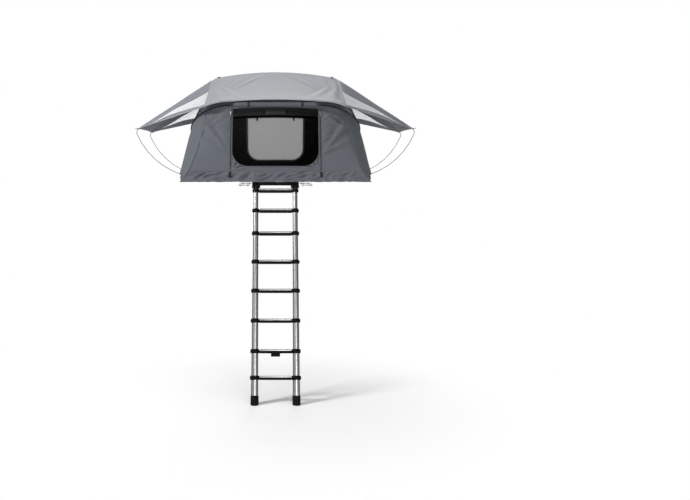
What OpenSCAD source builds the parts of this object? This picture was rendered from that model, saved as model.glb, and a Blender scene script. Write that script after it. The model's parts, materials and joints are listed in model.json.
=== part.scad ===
/* [Base] */
// Width of the base along the hinge line
base_w = 1780; // [1600:10:2000]
// Length of one base half, from the hinge line to its end
half_len = 1200; // [1100:10:1400]
// Height of the base frame profile
frame_h = 50; // [40:1:70]
// Width of the base frame's flanges
frame_w = 25; // [20:1:40]
// Wall of the base frame profile
frame_wall = 4; // [2:0.5:6]
// Thickness of the floor board
board_t = 24; // [15:1:30]
// Gap between the two halves at the hinge line
half_gap = 2; // [1:0.5:6]

/* [Roof bar mounting] */
// Height of a mounting rail
rail_h = 30; // [25:1:50]
// Width of a mounting rail
rail_w = 50; // [40:1:80]
// Wall of a mounting rail
rail_wall = 3; // [2:0.5:5]
// Width of the bolt slot in a mounting rail
rail_slot = 12; // [10:0.5:16]
// Distance between the two mounting rails
rail_spacing = 750; // [500:10:900]
// Distance between the two roof bars
bar_spacing = 730; // [600:10:1200]
// Height of the gap that takes a roof bar
bar_gap = 40; // [20:1:60]
// Distance between the two bolts of a clamp
clamp_pitch = 90; // [70:1:120]
// Diameter of a clamp bolt
clamp_bolt_d = 8; // [6:1:10]
// Thickness of a clamp plate
clamp_plate_t = 6; // [4:0.5:10]

/* [Hinge and bows] */
// Height of the hinge axis above the floor
hinge_rise = 110; // [95:1:140]
// Thickness of a hinge plate
plate_t = 6; // [4:0.5:8]
// Diameter of the hinge and bow pins
pin_d = 10; // [8:0.5:14]
// Outside diameter of a bow tube
bow_d = 22; // [16:1:25]
// Distance of an end bow's pivot from the hinge line
bow_pivot_out = 55; // [45:1:80]
// Drop of an end bow's pivot below the hinge axis
bow_pivot_drop = 26; // [24:1:40]
// Angle of an end bow above the floor when the tent is open
bow_angle = 33.5; // [28:0.1:38]
// Length of an end bow from its pivot to its shoulders
end_bow_len = 1075; // [950:5:1200]
// Rise of an end bow from its shoulders to its crown
end_bow_rise = 100; // [60:5:130]
// Bend radius of an end bow's shoulders
end_bow_bend = 400; // [300:5:420]
// Length of the ridge bow from the hinge axis to its shoulders
ridge_len = 940; // [800:5:1050]
// Rise of the ridge bow from its shoulders to its crown
ridge_rise = 100; // [50:5:140]
// Bend radius of the ridge bow's shoulders
ridge_bend = 180; // [120:5:220]

/* [Bedding] */
// Thickness of the mattress
mattress_t = 62; // [40:1:64]
// Clear space round the mattress at the sides of the tent
mattress_side = 95; // [90:1:150]

/* [Canopy] */
// Thickness given to the cloth
cloth_t = 4; // [3:0.5:6]
// How far the skirt's hem stands out from the base
skirt_flare = 52; // [20:1:80]
// Height of the skirt's seam above its hem
skirt_h = 108; // [80:1:140]
// Depth of the folds in the cloth
fold_depth = 7; // [0:0.5:9]
// Width of the door opening
door_w = 870; // [600:10:950]
// Height of the door's sill above the hem
door_sill = 150; // [130:5:220]
// Width of the rear window
window_w = 700; // [400:10:800]
// Height of the rear window's sill above the hem
window_sill = 220; // [180:5:320]
// Width of a door zip
zip_w = 14; // [8:1:20]

/* [Rain fly] */
// Distance from the tent's middle to the awning tips
awning_reach = 1480; // [1200:10:1600]
// Height of the awning tips above the hem
awning_tip_h = 556; // [450:2:640]
// Distance of the awning tips from the hinge line
awning_tip_out = 480; // [300:10:600]
// Air gap between the canopy and the fly
fly_gap = 12; // [8:1:30]
// Diameter of an awning rod
rod_d = 6; // [4:0.5:10]

/* [Ladder] */
// Lean of the ladder from the vertical
ladder_lean = 16.3; // [10:0.1:25]
// Distance between the ladder's two rows of tubes
ladder_w = 384; // [320:2:460]
// Outside diameter of the top section's tubes
ladder_top_d = 46; // [40:1:50]
// Wall of the ladder tubes
tube_wall = 1.4; // [1.2:0.1:1.45]
// Growth of the tube's diameter from one section to the next
tube_step = 3; // [3:0.1:3.4]
// Height of a ladder collar
collar_h = 39; // [30:1:46]
// Height of a rung
rung_h = 38; // [28:1:44]
// Depth of a rung
rung_depth = 50; // [40:1:60]
// Height of a ladder foot
foot_h = 79; // [60:1:100]
// How far the release tab hangs below its rung
tab_drop = 30; // [20:1:40]

/* [Hidden] */
$fn = 48;

run_fit = 0.05;
seat_gap = 0.3;
frame_z = rail_h;
floor_z = frame_z + frame_h;
hinge_y = -half_len / 2;
axis_z = floor_z + hinge_rise;
near_y = hinge_y - half_len;
pin_r = pin_d / 2;
bow_r = bow_d / 2;
hub_r = pin_r + 9;
bow_half = bow_r + 0.2;

// Distances from the middle of the tent, from the outside in
fixed_plate_x = base_w / 2 - 17;
folding_plate_x = fixed_plate_x - plate_t - 1;
end_leg_x = folding_plate_x - plate_t - 5 - bow_r;
ridge_leg_x = end_leg_x - bow_d - 8;
pin_head_t = 4;
ridge_shoulder_x = ridge_leg_x - 45;

end_pivot = [hinge_y - bow_pivot_out, axis_z - bow_pivot_drop];
crown_bend = 3000;
bend_step = 12;

// A bow's right half, drawn flat: its foot, its shoulder, its crown and the bend at its shoulder
end_shape = [[end_leg_x, 0], [end_leg_x, end_bow_len], [0, end_bow_len + end_bow_rise], end_bow_bend];
ridge_shape = [[ridge_leg_x, 0], [ridge_shoulder_x, ridge_len], [0, ridge_len + ridge_rise], ridge_bend];

// Helpers
module both_sides() {
    children();
    mirror([1, 0, 0]) children();
}

// Turns a near-half piece into its opposite number on the fixed half
module far_half() {
    translate([0, 2 * hinge_y, 0]) mirror([0, 1, 0]) children();
}

module x_rod(r, x0, x1) {
    translate([x0, 0, 0]) rotate([0, 90, 0]) cylinder(r = r, h = x1 - x0);
}

function mix(a, b, t) = a + (b - a) * t;
function unit2(v) = v / norm(v);
function smooth(t) = t * t * (3 - 2 * t);

// A round tube along flat points, with a bend of its own radius at each inner point
function turn_angle(a, b, c) = acos(min(1, unit2(b - a) * unit2(c - b)));
function turn_sign(a, b, c) = sign((b - a)[0] * (c - b)[1] - (b - a)[1] * (c - b)[0]);
function bend_cut(p, radii, i) =
    i == 0 || i == len(p) - 1 ? 0 : radii[i] * tan(turn_angle(p[i - 1], p[i], p[i + 1]) / 2);

// Points along the path, with an arc of short steps at each bend
function bend_points(p, radii, i) =
    let (along = unit2(p[i] - p[i - 1]),
         side = turn_sign(p[i - 1], p[i], p[i + 1]),
         start = p[i] - along * bend_cut(p, radii, i),
         centre = start + radii[i] * side * [-along[1], along[0]],
         angle = turn_angle(p[i - 1], p[i], p[i + 1]),
         steps = max(2, ceil(angle / bend_step)),
         arm = start - centre)
    [for (k = [0:steps]) let (t = side * angle * k / steps)
        centre + [arm[0] * cos(t) - arm[1] * sin(t), arm[0] * sin(t) + arm[1] * cos(t)]];
function path_points(p, radii) =
    concat([p[0]], [for (i = [1:len(p) - 2]) for (q = bend_points(p, radii, i)) q], [p[len(p) - 1]]);

module flat_tube(p, radii, r, sides) {
    path = path_points(p, radii);
    last = len(path) - 1;
    function step_along(i) = unit2(path[i + 1] - path[i]);
    function heading(i) = unit2(step_along(max(i - 1, 0)) + step_along(min(i, last - 1)));
    points = [for (i = [0:last]) let (h = heading(i)) for (k = [0:sides - 1]) let (a = 360 * k / sides)
        [path[i][0] - h[1] * r * cos(a), path[i][1] + h[0] * r * cos(a), r * sin(a)]];
    skin = [for (i = [0:last - 1]) for (k = [0:sides - 1])
        let (a = i * sides + k, b = i * sides + (k + 1) % sides)
        for (f = [[a, b, b + sides], [a, b + sides, a + sides]]) f];
    caps = concat([for (k = [1:sides - 2]) [0, k + 1, k]],
        [for (k = [1:sides - 2]) [last * sides, last * sides + k, last * sides + k + 1]]);
    polyhedron(points = points, faces = concat(skin, caps), convexity = 4);
}

// A sheet over a grid of points, with open cells left out, made solid along one direction
module cloth(rows, thick, open = []) {
    n = len(rows);
    m = len(rows[0]);
    top = [for (r = rows) for (p = r) p];
    low = [for (p = top) p + thick];
    half = n * m;
    function at(i, j, s) = s * half + i * m + j;
    function is_open(i, j) =
        i < 0 || j < 0 || i > n - 2 || j > m - 2 || len([for (o = open) if (o[0] == i && o[1] == j) 1]) > 0;
    cells = [for (i = [0:n - 2]) for (j = [0:m - 2]) if (!is_open(i, j)) [i, j]];
    upper = [for (c = cells) for (f = [
        [at(c[0], c[1], 0), at(c[0], c[1] + 1, 0), at(c[0] + 1, c[1] + 1, 0)],
        [at(c[0], c[1], 0), at(c[0] + 1, c[1] + 1, 0), at(c[0] + 1, c[1], 0)]]) f];
    under = [for (f = upper) [f[0] + half, f[2] + half, f[1] + half]];
    function wall(a, b) = [[a, b + half, a + half], [a, b, b + half]];
    edges = [for (c = cells) for (f = concat(
        is_open(c[0], c[1] - 1) ? wall(at(c[0], c[1], 0), at(c[0] + 1, c[1], 0)) : [],
        is_open(c[0] + 1, c[1]) ? wall(at(c[0] + 1, c[1], 0), at(c[0] + 1, c[1] + 1, 0)) : [],
        is_open(c[0], c[1] + 1) ? wall(at(c[0] + 1, c[1] + 1, 0), at(c[0], c[1] + 1, 0)) : [],
        is_open(c[0] - 1, c[1]) ? wall(at(c[0], c[1] + 1, 0), at(c[0], c[1], 0)) : [])) f];
    used = [for (f = concat(upper, under, edges)) [f[0], f[2], f[1]]];
    polyhedron(points = concat(top, low), faces = used, convexity = 6);
}

// Base halves
module base_frame() {
    inner_w = base_w - 2 * frame_wall;
    inner_l = half_len - half_gap / 2 - 2 * frame_wall;
    open_w = base_w - 2 * frame_w;
    open_l = half_len - half_gap / 2 - 2 * frame_w;
    shelf_z = frame_h - board_t - frame_wall;
    translate([0, near_y, frame_z]) difference() {
        translate([-base_w / 2, 0, 0]) cube([base_w, half_len - half_gap / 2, frame_h]);
        translate([-inner_w / 2, frame_wall, frame_h - board_t]) cube([inner_w, inner_l, board_t + 1]);
        translate([-inner_w / 2, frame_wall, frame_wall]) cube([inner_w, inner_l, shelf_z - frame_wall]);
        translate([-open_w / 2, frame_w, -1]) cube([open_w, open_l, frame_h + 2]);
    }
}

module base_board() {
    board_w = base_w - 2 * frame_wall - 1;
    board_l = half_len - half_gap / 2 - 2 * frame_wall - 1;
    translate([-board_w / 2, near_y + frame_wall + 0.5, floor_z - board_t]) cube([board_w, board_l, board_t]);
}

module folding_frame() { color("silver") base_frame(); }
module fixed_frame() { color("silver") far_half() base_frame(); }
module folding_board() { color("gainsboro") base_board(); }
module fixed_board() { color("gainsboro") far_half() base_board(); }

// Mounting rails and roof bar clamps
module mounting_rails() {
    rail_len = base_w - 20;
    color("silver") for (s = [-1, 1]) translate([-rail_len / 2, s * rail_spacing / 2, 0])
        rotate([90, 0, 90]) linear_extrude(rail_len) difference() {
            translate([-rail_w / 2, 0]) square([rail_w, rail_h]);
            translate([-rail_w / 2 + rail_wall, rail_wall])
                square([rail_w - 2 * rail_wall, rail_h - 2 * rail_wall]);
            translate([-rail_slot / 2, -1]) square([rail_slot, rail_wall + 2]);
        }
}

module at_clamps() {
    for (sx = [-1, 1]) for (sy = [-1, 1])
        translate([sx * bar_spacing / 2, sy * rail_spacing / 2, 0]) children();
}

module at_clamp_bolts() {
    at_clamps() for (s = [-1, 1]) translate([s * clamp_pitch / 2, 0, 0]) children();
}

bolt_head = 2 * clamp_bolt_d;
bolt_head_t = 0.7 * clamp_bolt_d;
nut_t = 0.9 * clamp_bolt_d;
plate_top = -bar_gap;
plate_low = plate_top - clamp_plate_t;

module clamp_bolts() {
    reach = bar_gap + clamp_plate_t + nut_t + clamp_bolt_d;
    color("silver") at_clamp_bolts() {
        translate([-bolt_head / 2, -bolt_head / 2, rail_wall]) cube([bolt_head, bolt_head, bolt_head_t]);
        translate([0, 0, -reach]) cylinder(d = clamp_bolt_d, h = reach + rail_wall + 1);
    }
}

module clamp_plates() {
    plate_len = clamp_pitch + 40;
    color("dimgray") at_clamps() translate([0, 0, plate_low]) difference() {
        translate([-plate_len / 2, -rail_w / 2, 0]) cube([plate_len, rail_w, clamp_plate_t]);
        for (s = [-1, 1]) translate([s * clamp_pitch / 2, 0, -1])
            cylinder(d = clamp_bolt_d + 2 * run_fit, h = clamp_plate_t + 2);
    }
}

module clamp_nuts() {
    color("silver") at_clamp_bolts() translate([0, 0, plate_low - nut_t]) difference() {
        cylinder(d = 1.9 * clamp_bolt_d, h = nut_t, $fn = 6);
        translate([0, 0, -1]) cylinder(d = clamp_bolt_d + 2 * run_fit, h = nut_t + 2, $fn = 48);
    }
}

// Raised hinge, seen along the hinge line; the plate's outer face is at x_out
foot_from = 34;
foot_to = 165;
foot_t = 5;
foot_reach = 36;

module hinge_plate(x_out) {
    pivot = [-bow_pivot_out, -bow_pivot_drop];
    both_sides() {
        translate([x_out - plate_t, hinge_y, axis_z]) rotate([90, 0, 90])
        linear_extrude(plate_t) difference() {
            union() {
                circle(r = hub_r + 2);
                translate(pivot) circle(r = hub_r);
                polygon([[hub_r, 0], [0, hub_r + 2], [pivot[0] - 6, pivot[1] + hub_r - 2],
                    [-foot_to, foot_t - hinge_rise], [-foot_to, -hinge_rise], [-foot_from, -hinge_rise]]);
            }
            circle(r = pin_r + run_fit);
            translate(pivot) circle(r = pin_r + run_fit);
        }
        translate([x_out - plate_t - foot_reach, hinge_y - foot_to, floor_z])
            cube([foot_reach + 1, foot_to - foot_from, foot_t]);
    }
}

module folding_hinge_plates() { color("dimgray") hinge_plate(folding_plate_x); }
module fixed_hinge_plates() { color("dimgray") far_half() hinge_plate(fixed_plate_x); }

module hinge_pins() {
    inner_x = ridge_leg_x - bow_half - pin_head_t;
    color("silver") both_sides() translate([0, hinge_y, axis_z]) {
        x_rod(pin_r, inner_x, fixed_plate_x + pin_head_t);
        x_rod(pin_r + 4, inner_x - pin_head_t, inner_x + pin_head_t - seat_gap);
        x_rod(pin_r + 4, fixed_plate_x, fixed_plate_x + pin_head_t);
    }
}

module bow_pins(plate_x) {
    inner_x = end_leg_x - bow_half - seat_gap;
    color("silver") both_sides() translate([0, end_pivot[0], end_pivot[1]]) {
        x_rod(pin_r, inner_x - 1, plate_x);
        x_rod(pin_r + 4, inner_x - pin_head_t, inner_x);
    }
}

module near_bow_pins() { bow_pins(folding_plate_x); }
module far_bow_pins() { far_half() bow_pins(fixed_plate_x); }

// A bow drawn flat: legs from its pivots at y = 0, shoulders, and a low crown
bow_sides = 12;

module bow(shape) {
    foot = shape[0];
    shoulder = shape[1];
    past_pin = foot - hub_r * unit2(shoulder - foot);
    difference() {
        flat_tube([[-past_pin[0], past_pin[1]], [-shoulder[0], shoulder[1]], shape[2], shoulder, past_pin],
            [0, shape[3], crown_bend, shape[3], 0], bow_r, bow_sides);
        both_sides() x_rod(pin_r + run_fit, foot[0] - bow_d, foot[0] + bow_d);
    }
}

module end_bow() {
    translate([0, end_pivot[0], end_pivot[1]]) rotate([180 - bow_angle, 0, 0])
        bow(end_shape);
}

module near_bow() { color("lightgray") end_bow(); }
module far_bow() { color("lightgray") far_half() end_bow(); }

module ridge_bow() {
    color("lightgray") translate([0, hinge_y, axis_z]) rotate([90, 0, 0])
        bow(ridge_shape);
}

// Mattress half: crowned top, sides drawn in between the corners, sewn channels across
mattress_end = 40;
channel_count = 4;
channel_depth = 7;
side_draw = 14;
edge_drop = 16;

module mattress() {
    half_w = base_w / 2 - mattress_side;
    y0 = near_y + mattress_end;
    y1 = hinge_y - mattress_end;
    nx = 12;
    ny = 16;
    function edge(a) = pow(abs(a), 4);
    function inset(a) = side_draw * (1 - edge(a));
    function px(u, v) = (half_w - inset(2 * v - 1)) * (2 * u - 1);
    function py(u, v) = mix(y0 + inset(2 * u - 1), y1 - inset(2 * u - 1), v);
    function channel(v) = channel_depth * pow(abs(cos(180 * channel_count * v)), 12);
    function crown(u, v) = mattress_t - edge_drop * max(edge(2 * u - 1), edge(2 * v - 1)) - channel(v);
    function on_top(u, v) = [px(u, v), py(u, v), floor_z + crown(u, v)];
    rows = [for (j = [0:ny]) [for (i = [0:nx]) on_top(i / nx, j / ny)]];
    base = [for (r = rows) for (p = r) [p[0], p[1], floor_z + seat_gap]];
    top = [for (r = rows) for (p = r) p];
    m = nx + 1;
    half = len(top);
    upper = [for (j = [0:ny - 1]) for (i = [0:nx - 1]) for (f = [
        [j * m + i, (j + 1) * m + i + 1, j * m + i + 1],
        [j * m + i, (j + 1) * m + i, (j + 1) * m + i + 1]]) f];
    under = [for (f = upper) [f[0] + half, f[2] + half, f[1] + half]];
    rim = concat([for (i = [0:nx]) i], [for (j = [1:ny]) j * m + nx],
        [for (i = [1:nx]) ny * m + nx - i], [for (j = [1:ny - 1]) (ny - j) * m]);
    sides = [for (k = [0:len(rim) - 1]) let (a = rim[k], b = rim[(k + 1) % len(rim)])
        for (f = [[a, b, b + half], [a, b + half, a + half]]) f];
    polyhedron(points = concat(top, base), faces = concat(upper, under, sides), convexity = 4);
}

module folding_mattress() { color("slategray") mattress(); }
module fixed_mattress() { color("slategray") far_half() mattress(); }

// Canopy: where the cloth passes outside a bow, at a distance x from the middle or r from its pivot
bow_clear = 8;
cloth_over = bow_r + cloth_t + bow_clear;
hem_z = frame_z;
seam_z = hem_z + skirt_h;
seam_gap = 6;
side_clear = 8;

function bow_bend_centre(b) =
    let (up = unit2(b[1] - b[0]), cut = b[3] * tan(turn_angle(b[0], b[1], b[2]) / 2))
    b[1] - up * cut + b[3] * [-up[1], up[0]];
function bow_top(b) = b[2][1] - crown_bend * (1 / cos(atan2(b[2][1] - b[1][1], b[1][0])) - 1);
function over_bow(b, x) =
    let (c = bow_bend_centre(b), r = b[3] + cloth_over, shoulder = c[1] + r)
    x < c[0] ? shoulder + (bow_top(b) + cloth_over - shoulder) * (1 - pow(x / c[0], 2))
             : c[1] + sqrt(max(0, r * r - pow(x - c[0], 2)));
function beside_bow(b, r) =
    let (c = bow_bend_centre(b), bend = b[3] + cloth_over)
    r < c[1] ? mix(b[0][0], b[1][0], r / b[1][1]) + cloth_over
             : c[0] + sqrt(max(0, bend * bend - pow(r - c[1], 2)));
function end_at(x, r) = [x, end_pivot[0] - r * cos(bow_angle), end_pivot[1] + r * sin(bow_angle)];
function on_end_bow(x) = end_at(x, over_bow(end_shape, abs(x)));
function on_ridge(x) = [x, hinge_y, axis_z + over_bow(ridge_shape, abs(x))];

// The seam between the front wall and a side wall, from the skirt's seam up to the near bow
front_low_x = base_w / 2 - 33;
front_top_in = 142;
roof_edge_in = 88;
ridge_edge_in = 40;
front_top_x = end_leg_x - front_top_in;
roof_edge_x = end_leg_x - roof_edge_in;
ridge_edge_x = ridge_shoulder_x - ridge_edge_in;
front_low_y = near_y - 12;
hem_y = near_y - 0.8 * skirt_flare;
hem_x = base_w / 2 + skirt_flare;
function front_seam_x(w) = front_top_x + (front_low_x - front_top_x) * pow(1 - w, 1.6);

// Heights up a wall: -1 is the hem, 0 the skirt's seam and 1 the bow
wall_rows = 8;
fold_turn = 1400;
function folds(a) = fold_depth * (0.5 + 0.5 * sin(a));

// Front or rear wall, with an opening of the given width that starts at the given height
module end_wall(opening_w, sill_h, only_opening = false) {
    half_cols = 5;
    calm_to = 0.65;
    opening_top = 0.95;
    fold_lean = 200;
    skirt_fold = 1.6;
    edge_x = opening_w / 2;
    sill_w = (sill_h - skirt_h) / (on_end_bow(0)[2] - seam_z);
    rows_up = [for (i = [1:wall_rows - 2]) mix(sill_w, opening_top, i / (wall_rows - 2))];
    heights = concat([-1, -0.5, 0, sill_w], rows_up, [1]);
    cols = [for (i = [-2 * half_cols:2 * half_cols]) i / (2 * half_cols)];
    function place_x(u, w) = abs(u) <= 0.5 ? 2 * u * edge_x
        : sign(u) * mix(edge_x, w < 0 ? mix(front_low_x, hem_x, -w) : front_seam_x(w), 2 * abs(u) - 1);
    function point(u, w) =
        let (x = place_x(u, w), top = on_end_bow(abs(u) <= 0.5 ? x : place_x(u, 1)),
             depth = w < 0 ? skirt_fold : abs(u) * (1 - w),
             out = abs(u) < calm_to ? 0 : folds(abs(u) * fold_turn + w * fold_lean) * depth)
        w < 0 ? [x, mix(front_low_y, hem_y, -w) - out, mix(seam_z, hem_z, -w)]
              : [x, mix(front_low_y, top[1], w) - out, mix(seam_z, top[2], w)];
    last = len(heights) - 1;
    hole = [for (i = [3:last - 2]) for (j = [half_cols:3 * half_cols - 1]) [i, j]];
    whole = [for (w = heights) [for (u = cols) point(u, w)]];
    behind = [0, cloth_t + seat_gap, 0];
    inner = [for (i = [3:last - 1]) [for (j = [half_cols:3 * half_cols]) whole[i][j] + behind]];
    if (only_opening) cloth(inner, [0, cloth_t / 2, 0]);
    else cloth(whole, [0, cloth_t, 0], hole);
}

// Right side wall of the near half: front seam, bow and ridge are its three upright lines.
// Between the front seam and the bow the cloth goes round a full corner.
corner_round = 110;
corner_lead = 1.6;

module side_wall() {
    front_cols = 5;
    back_cols = 8;
    skirt_fold = 1.6;
    end_top = on_end_bow(roof_edge_x);
    front_top = on_end_bow(front_top_x);
    ridge_top = on_ridge(ridge_edge_x);
    heights = [-1, -0.5, 0, 0.3, 0.6, 0.79, 0.85, 0.9, 0.95, 1];
    wall_x = base_w / 2 + side_clear;
    slack_x = wall_x - beside_bow(end_shape, 0);
    function bow_point(w) =
        let (z = mix(seam_z, end_top[2], w), r = max(0, (z - end_pivot[1]) / sin(bow_angle)))
        [beside_bow(end_shape, r) + slack_x * (1 - pow(w, 3)), end_at(0, r)[1], z];
    function ridge_point(w) =
        let (z = mix(seam_z, ridge_top[2], w), r = max(0, z - axis_z))
        [max(beside_bow(ridge_shape, r), mix(wall_x, ridge_edge_x, smooth(w))), hinge_y - seat_gap, z];
    function front_point(w) =
        [front_seam_x(w), mix(front_low_y, front_top[1], w) + seam_gap, mix(seam_z, front_top[2], w)];
    function skirt(p, w, y) = [mix(p[0], hem_x, -w), mix(p[1], y, -w), mix(seam_z, hem_z, -w)];
    function front_line(w) = w < 0 ? skirt(front_point(0), w, hem_y + seam_gap) : front_point(w);
    function bow_line(w) = w < 0 ? skirt(bow_point(0), w, bow_point(0)[1]) : bow_point(w);
    function ridge_line(w) = w < 0 ? skirt(ridge_point(0), w, hinge_y - seat_gap) : ridge_point(w);
    function fullness(w) = w < 0 ? 1 + w : 1 - pow(w, 3);
    function corner(t, w) = [corner_round * fullness(w) * sin(180 * t), 0, 0];
    function ripple(s, w) = [folds(s * fold_turn) * (w < 0 ? skirt_fold : 1 - w) * sin(180 * s), 0, 0];
    rows = [for (w = heights) concat(
        [for (i = [0:front_cols - 1]) let (t = i / front_cols)
            mix(front_line(w), bow_line(w), pow(t, corner_lead)) + corner(t, w)],
        [for (i = [0:back_cols]) mix(bow_line(w), ridge_line(w), i / back_cols) + ripple(i / back_cols, w)])];
    cloth(rows, [-cloth_t, 0, 0]);
}

// Roof of the near half, from the near bow to the ridge, drawn a little hollow
module roof_panel() {
    long_cells = 6;
    cross_cells = 16;
    roof_sag = 18;
    roof_gap = cloth_t + 1.3;
    edge_in = cloth_t + 3;
    rows = [for (i = [0:long_cells]) [for (j = [0:cross_cells])
        let (u = 2 * j / cross_cells - 1, v = i / long_cells,
             p = on_end_bow(u * (roof_edge_x - edge_in)) + [0, roof_gap, seam_gap / 2],
             q = on_ridge(u * (ridge_edge_x - edge_in)) - [0, seat_gap, 0],
             sag = roof_sag * 4 * v * (1 - v) * (1 - u * u))
        mix(p, q, v) - [0, 0, sag]]];
    cloth(rows, [0, 0, -cloth_t]);
}

module front_wall() { color("slategray") end_wall(door_w, door_sill); }
module rear_wall() { color("slategray") far_half() end_wall(window_w, window_sill); }
module rear_window_mesh() { color("gray") far_half() end_wall(window_w, window_sill, true); }
module near_side_right() { color("slategray") side_wall(); }
module near_side_left() { color("slategray") mirror([1, 0, 0]) side_wall(); }
module far_side_right() { color("slategray") far_half() side_wall(); }
module far_side_left() { color("slategray") far_half() mirror([1, 0, 0]) side_wall(); }
module near_roof() { color("slategray") roof_panel(); }
module far_roof() { color("slategray") far_half() roof_panel(); }

// Rain fly, near half: a top panel between the shoulders and an awning on each side
fly_top_x = front_top_x;
fly_over = 46;
fly_hem_y = on_end_bow(0)[1] - 24;
tip_z = hem_z + awning_tip_h;
crease_start = 40;
tip_end = 40;
fly_sag = 16;

module fly_half() {
    top_cells = 12;
    wing_cells = 6;
    bands = 4;
    xs = concat([for (i = [0:wing_cells - 1]) mix(-awning_reach, -fly_top_x, i / wing_cells)],
        [for (i = [0:top_cells]) mix(-fly_top_x, fly_top_x, i / top_cells)],
        [for (i = [1:wing_cells]) mix(fly_top_x, awning_reach, i / wing_cells)]);
    function wing(x) = max(0, (abs(x) - fly_top_x) / (awning_reach - fly_top_x));
    function ridge_z(x) = on_ridge(min(abs(x), fly_top_x))[2] + fly_gap + cloth_t;
    function hem_top(x) = on_end_bow(min(abs(x), fly_top_x))[2] + fly_over;
    function crease_y(x) = hinge_y - (wing(x) > 0 ? mix(crease_start, awning_tip_out, wing(x))
        : mix(0.35 * half_len, crease_start, pow(x / fly_top_x, 2)));
    function edge_y(x) = mix(fly_hem_y, hinge_y - awning_tip_out - tip_end, wing(x));
    function line_z(x) = mix(ridge_z(x), tip_z, wing(x));
    function edge_z(x) = mix(hem_top(x), tip_z, wing(x));
    function height(x, y) =
        let (c = wing(x) > 0 ? crease_y(x) : hinge_y, g = max(0, (c - y) / (c - edge_y(x))))
        mix(line_z(x), edge_z(x), g) - fly_sag * 4 * g * (1 - g);
    function along(x, v) = v < 0.5 ? mix(hinge_y - seat_gap, crease_y(x), 2 * v)
        : mix(crease_y(x), edge_y(x), 2 * v - 1);
    function on_fly(x, v) = [x, along(x, v), height(x, along(x, v))];
    rows = [for (i = [2 * bands:-1:0]) [for (x = xs) on_fly(x, i / (2 * bands))]];
    cloth(rows, [0, 0, -cloth_t]);
}

module near_fly() { color("lightsteelblue") fly_half(); }
module far_fly() { color("lightsteelblue") far_half() fly_half(); }

// Spring-steel awning rods, drawn in an upright plane, and their sockets on the base frame
rod_r = rod_d / 2;
rod_rise = 10;
socket_len = 18;
socket_side = 24;
rod_foot = [base_w / 2 + 4, floor_z - 16];
rod_neck = [12, -48];
hook = [29, 4];
tip_lead = 1.4;
rod_tip = [awning_reach + tip_lead, tip_z];

module awning_rod() {
    top = rod_tip + rod_neck;
    chord = top - rod_foot;
    half_turn = atan2(chord[1], chord[0]) - rod_rise;
    reach = norm(chord) / 2 / cos(half_turn);
    corner = rod_foot + reach * [cos(rod_rise), sin(rod_rise)];
    translate([0, hinge_y - awning_tip_out, 0]) rotate([90, 0, 0])
        flat_tube([rod_foot, corner, top, rod_tip, rod_tip + hook],
            [0, 0.97 * reach / tan(half_turn), 3 * rod_d, 1.2 * rod_d, 0], rod_r, 8);
}

module rod_socket() {
    translate([0, hinge_y - awning_tip_out, 0]) difference() {
        translate([base_w / 2, -socket_side / 2, rod_foot[1] - socket_side / 2])
            cube([socket_len, socket_side, socket_side]);
        translate([rod_foot[0], 0, rod_foot[1]]) rotate([0, -rod_rise, 0])
            translate([-1, 0, 0]) rotate([0, 90, 0]) cylinder(r = rod_r + run_fit, h = 2 * socket_len);
    }
}

module near_awning_rods() { color("silver") both_sides() awning_rod(); }
module far_awning_rods() { color("silver") far_half() both_sides() awning_rod(); }
module near_rod_sockets() { color("dimgray") both_sides() rod_socket(); }
module far_rod_sockets() { color("dimgray") far_half() both_sides() rod_socket(); }

// Door fittings, set on the straight line of the front wall beside the door
zip_x = door_w / 2 + zip_w;
zip_t = 2;
zip_len = norm(on_end_bow(door_w / 2) - [door_w / 2, front_low_y, seam_z]) - 40;
slider_len = 26;
slider_t = 8;
slider_start = zip_len - 50;
roll_r = 19;
roll_drop = 6;
tab_w = 25;
tab_t = 3;

// Children stand upright along the wall's straight line at x, with -Y away from the cloth
face_gap = 0.6;

module on_wall(x) {
    rise = on_end_bow(x) - [x, front_low_y, seam_z];
    lean = atan2(rise[1], rise[2]);
    translate([0, front_low_y, seam_z]) rotate([-lean, 0, 0]) translate([0, -face_gap, 0]) children();
}

module door_zips() {
    color("black") both_sides() on_wall(door_w / 2)
        translate([zip_x - zip_w / 2, -zip_t, 10]) cube([zip_w, zip_t, zip_len]);
}

module zip_slider(x) {
    color("lightgray") on_wall(door_w / 2) translate([x, -zip_t - seat_gap, slider_start]) {
        translate([-zip_w / 2, -slider_t, 0]) cube([zip_w, slider_t, slider_len]);
        translate([-zip_w / 4, -slider_t, -slider_len]) cube([zip_w / 2, slider_t / 3, slider_len + 4]);
    }
}

module zip_slider_left() { zip_slider(-zip_x); }
module zip_slider_right() { zip_slider(zip_x); }

module door_roll() {
    wall_len = norm(on_end_bow(0) - [0, front_low_y, seam_z]);
    color("slategray") on_wall(0) translate([0, -roll_r, wall_len - roll_r - roll_drop])
        x_rod(roll_r, -door_w / 2 + 10, door_w / 2 - 10);
}

module hem_tabs() {
    lean = atan2(front_low_y - hem_y, skirt_h);
    color("black") both_sides() translate([zip_x, hem_y, hem_z]) rotate([-lean, 0, 0])
        translate([-tab_w / 2, -tab_t - face_gap, skirt_h / 3]) cube([tab_w, tab_t, skirt_h / 2]);
}

// Ladder, drawn along its own length below its pivot
pivot_y = near_y - 20;
pivot_z = frame_z - 44;
ladder_pin_r = 6;
bracket_w = 76;
cheek_t = 12;
cheek_r = 20;
bridge_t = 10;
// Gaps between the rungs as the ladder is set, from the top down
rung_gaps = [202, 226, 277, 277, 280, 280, 240];
first_rung = 43;
last_gap = 237;
section_count = len(rung_gaps) + 1;
tube_overlap = 45;
collar_proud = 12;
foot_wall = 4;
foot_floor = 18;
foot_grip = 55;

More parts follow.
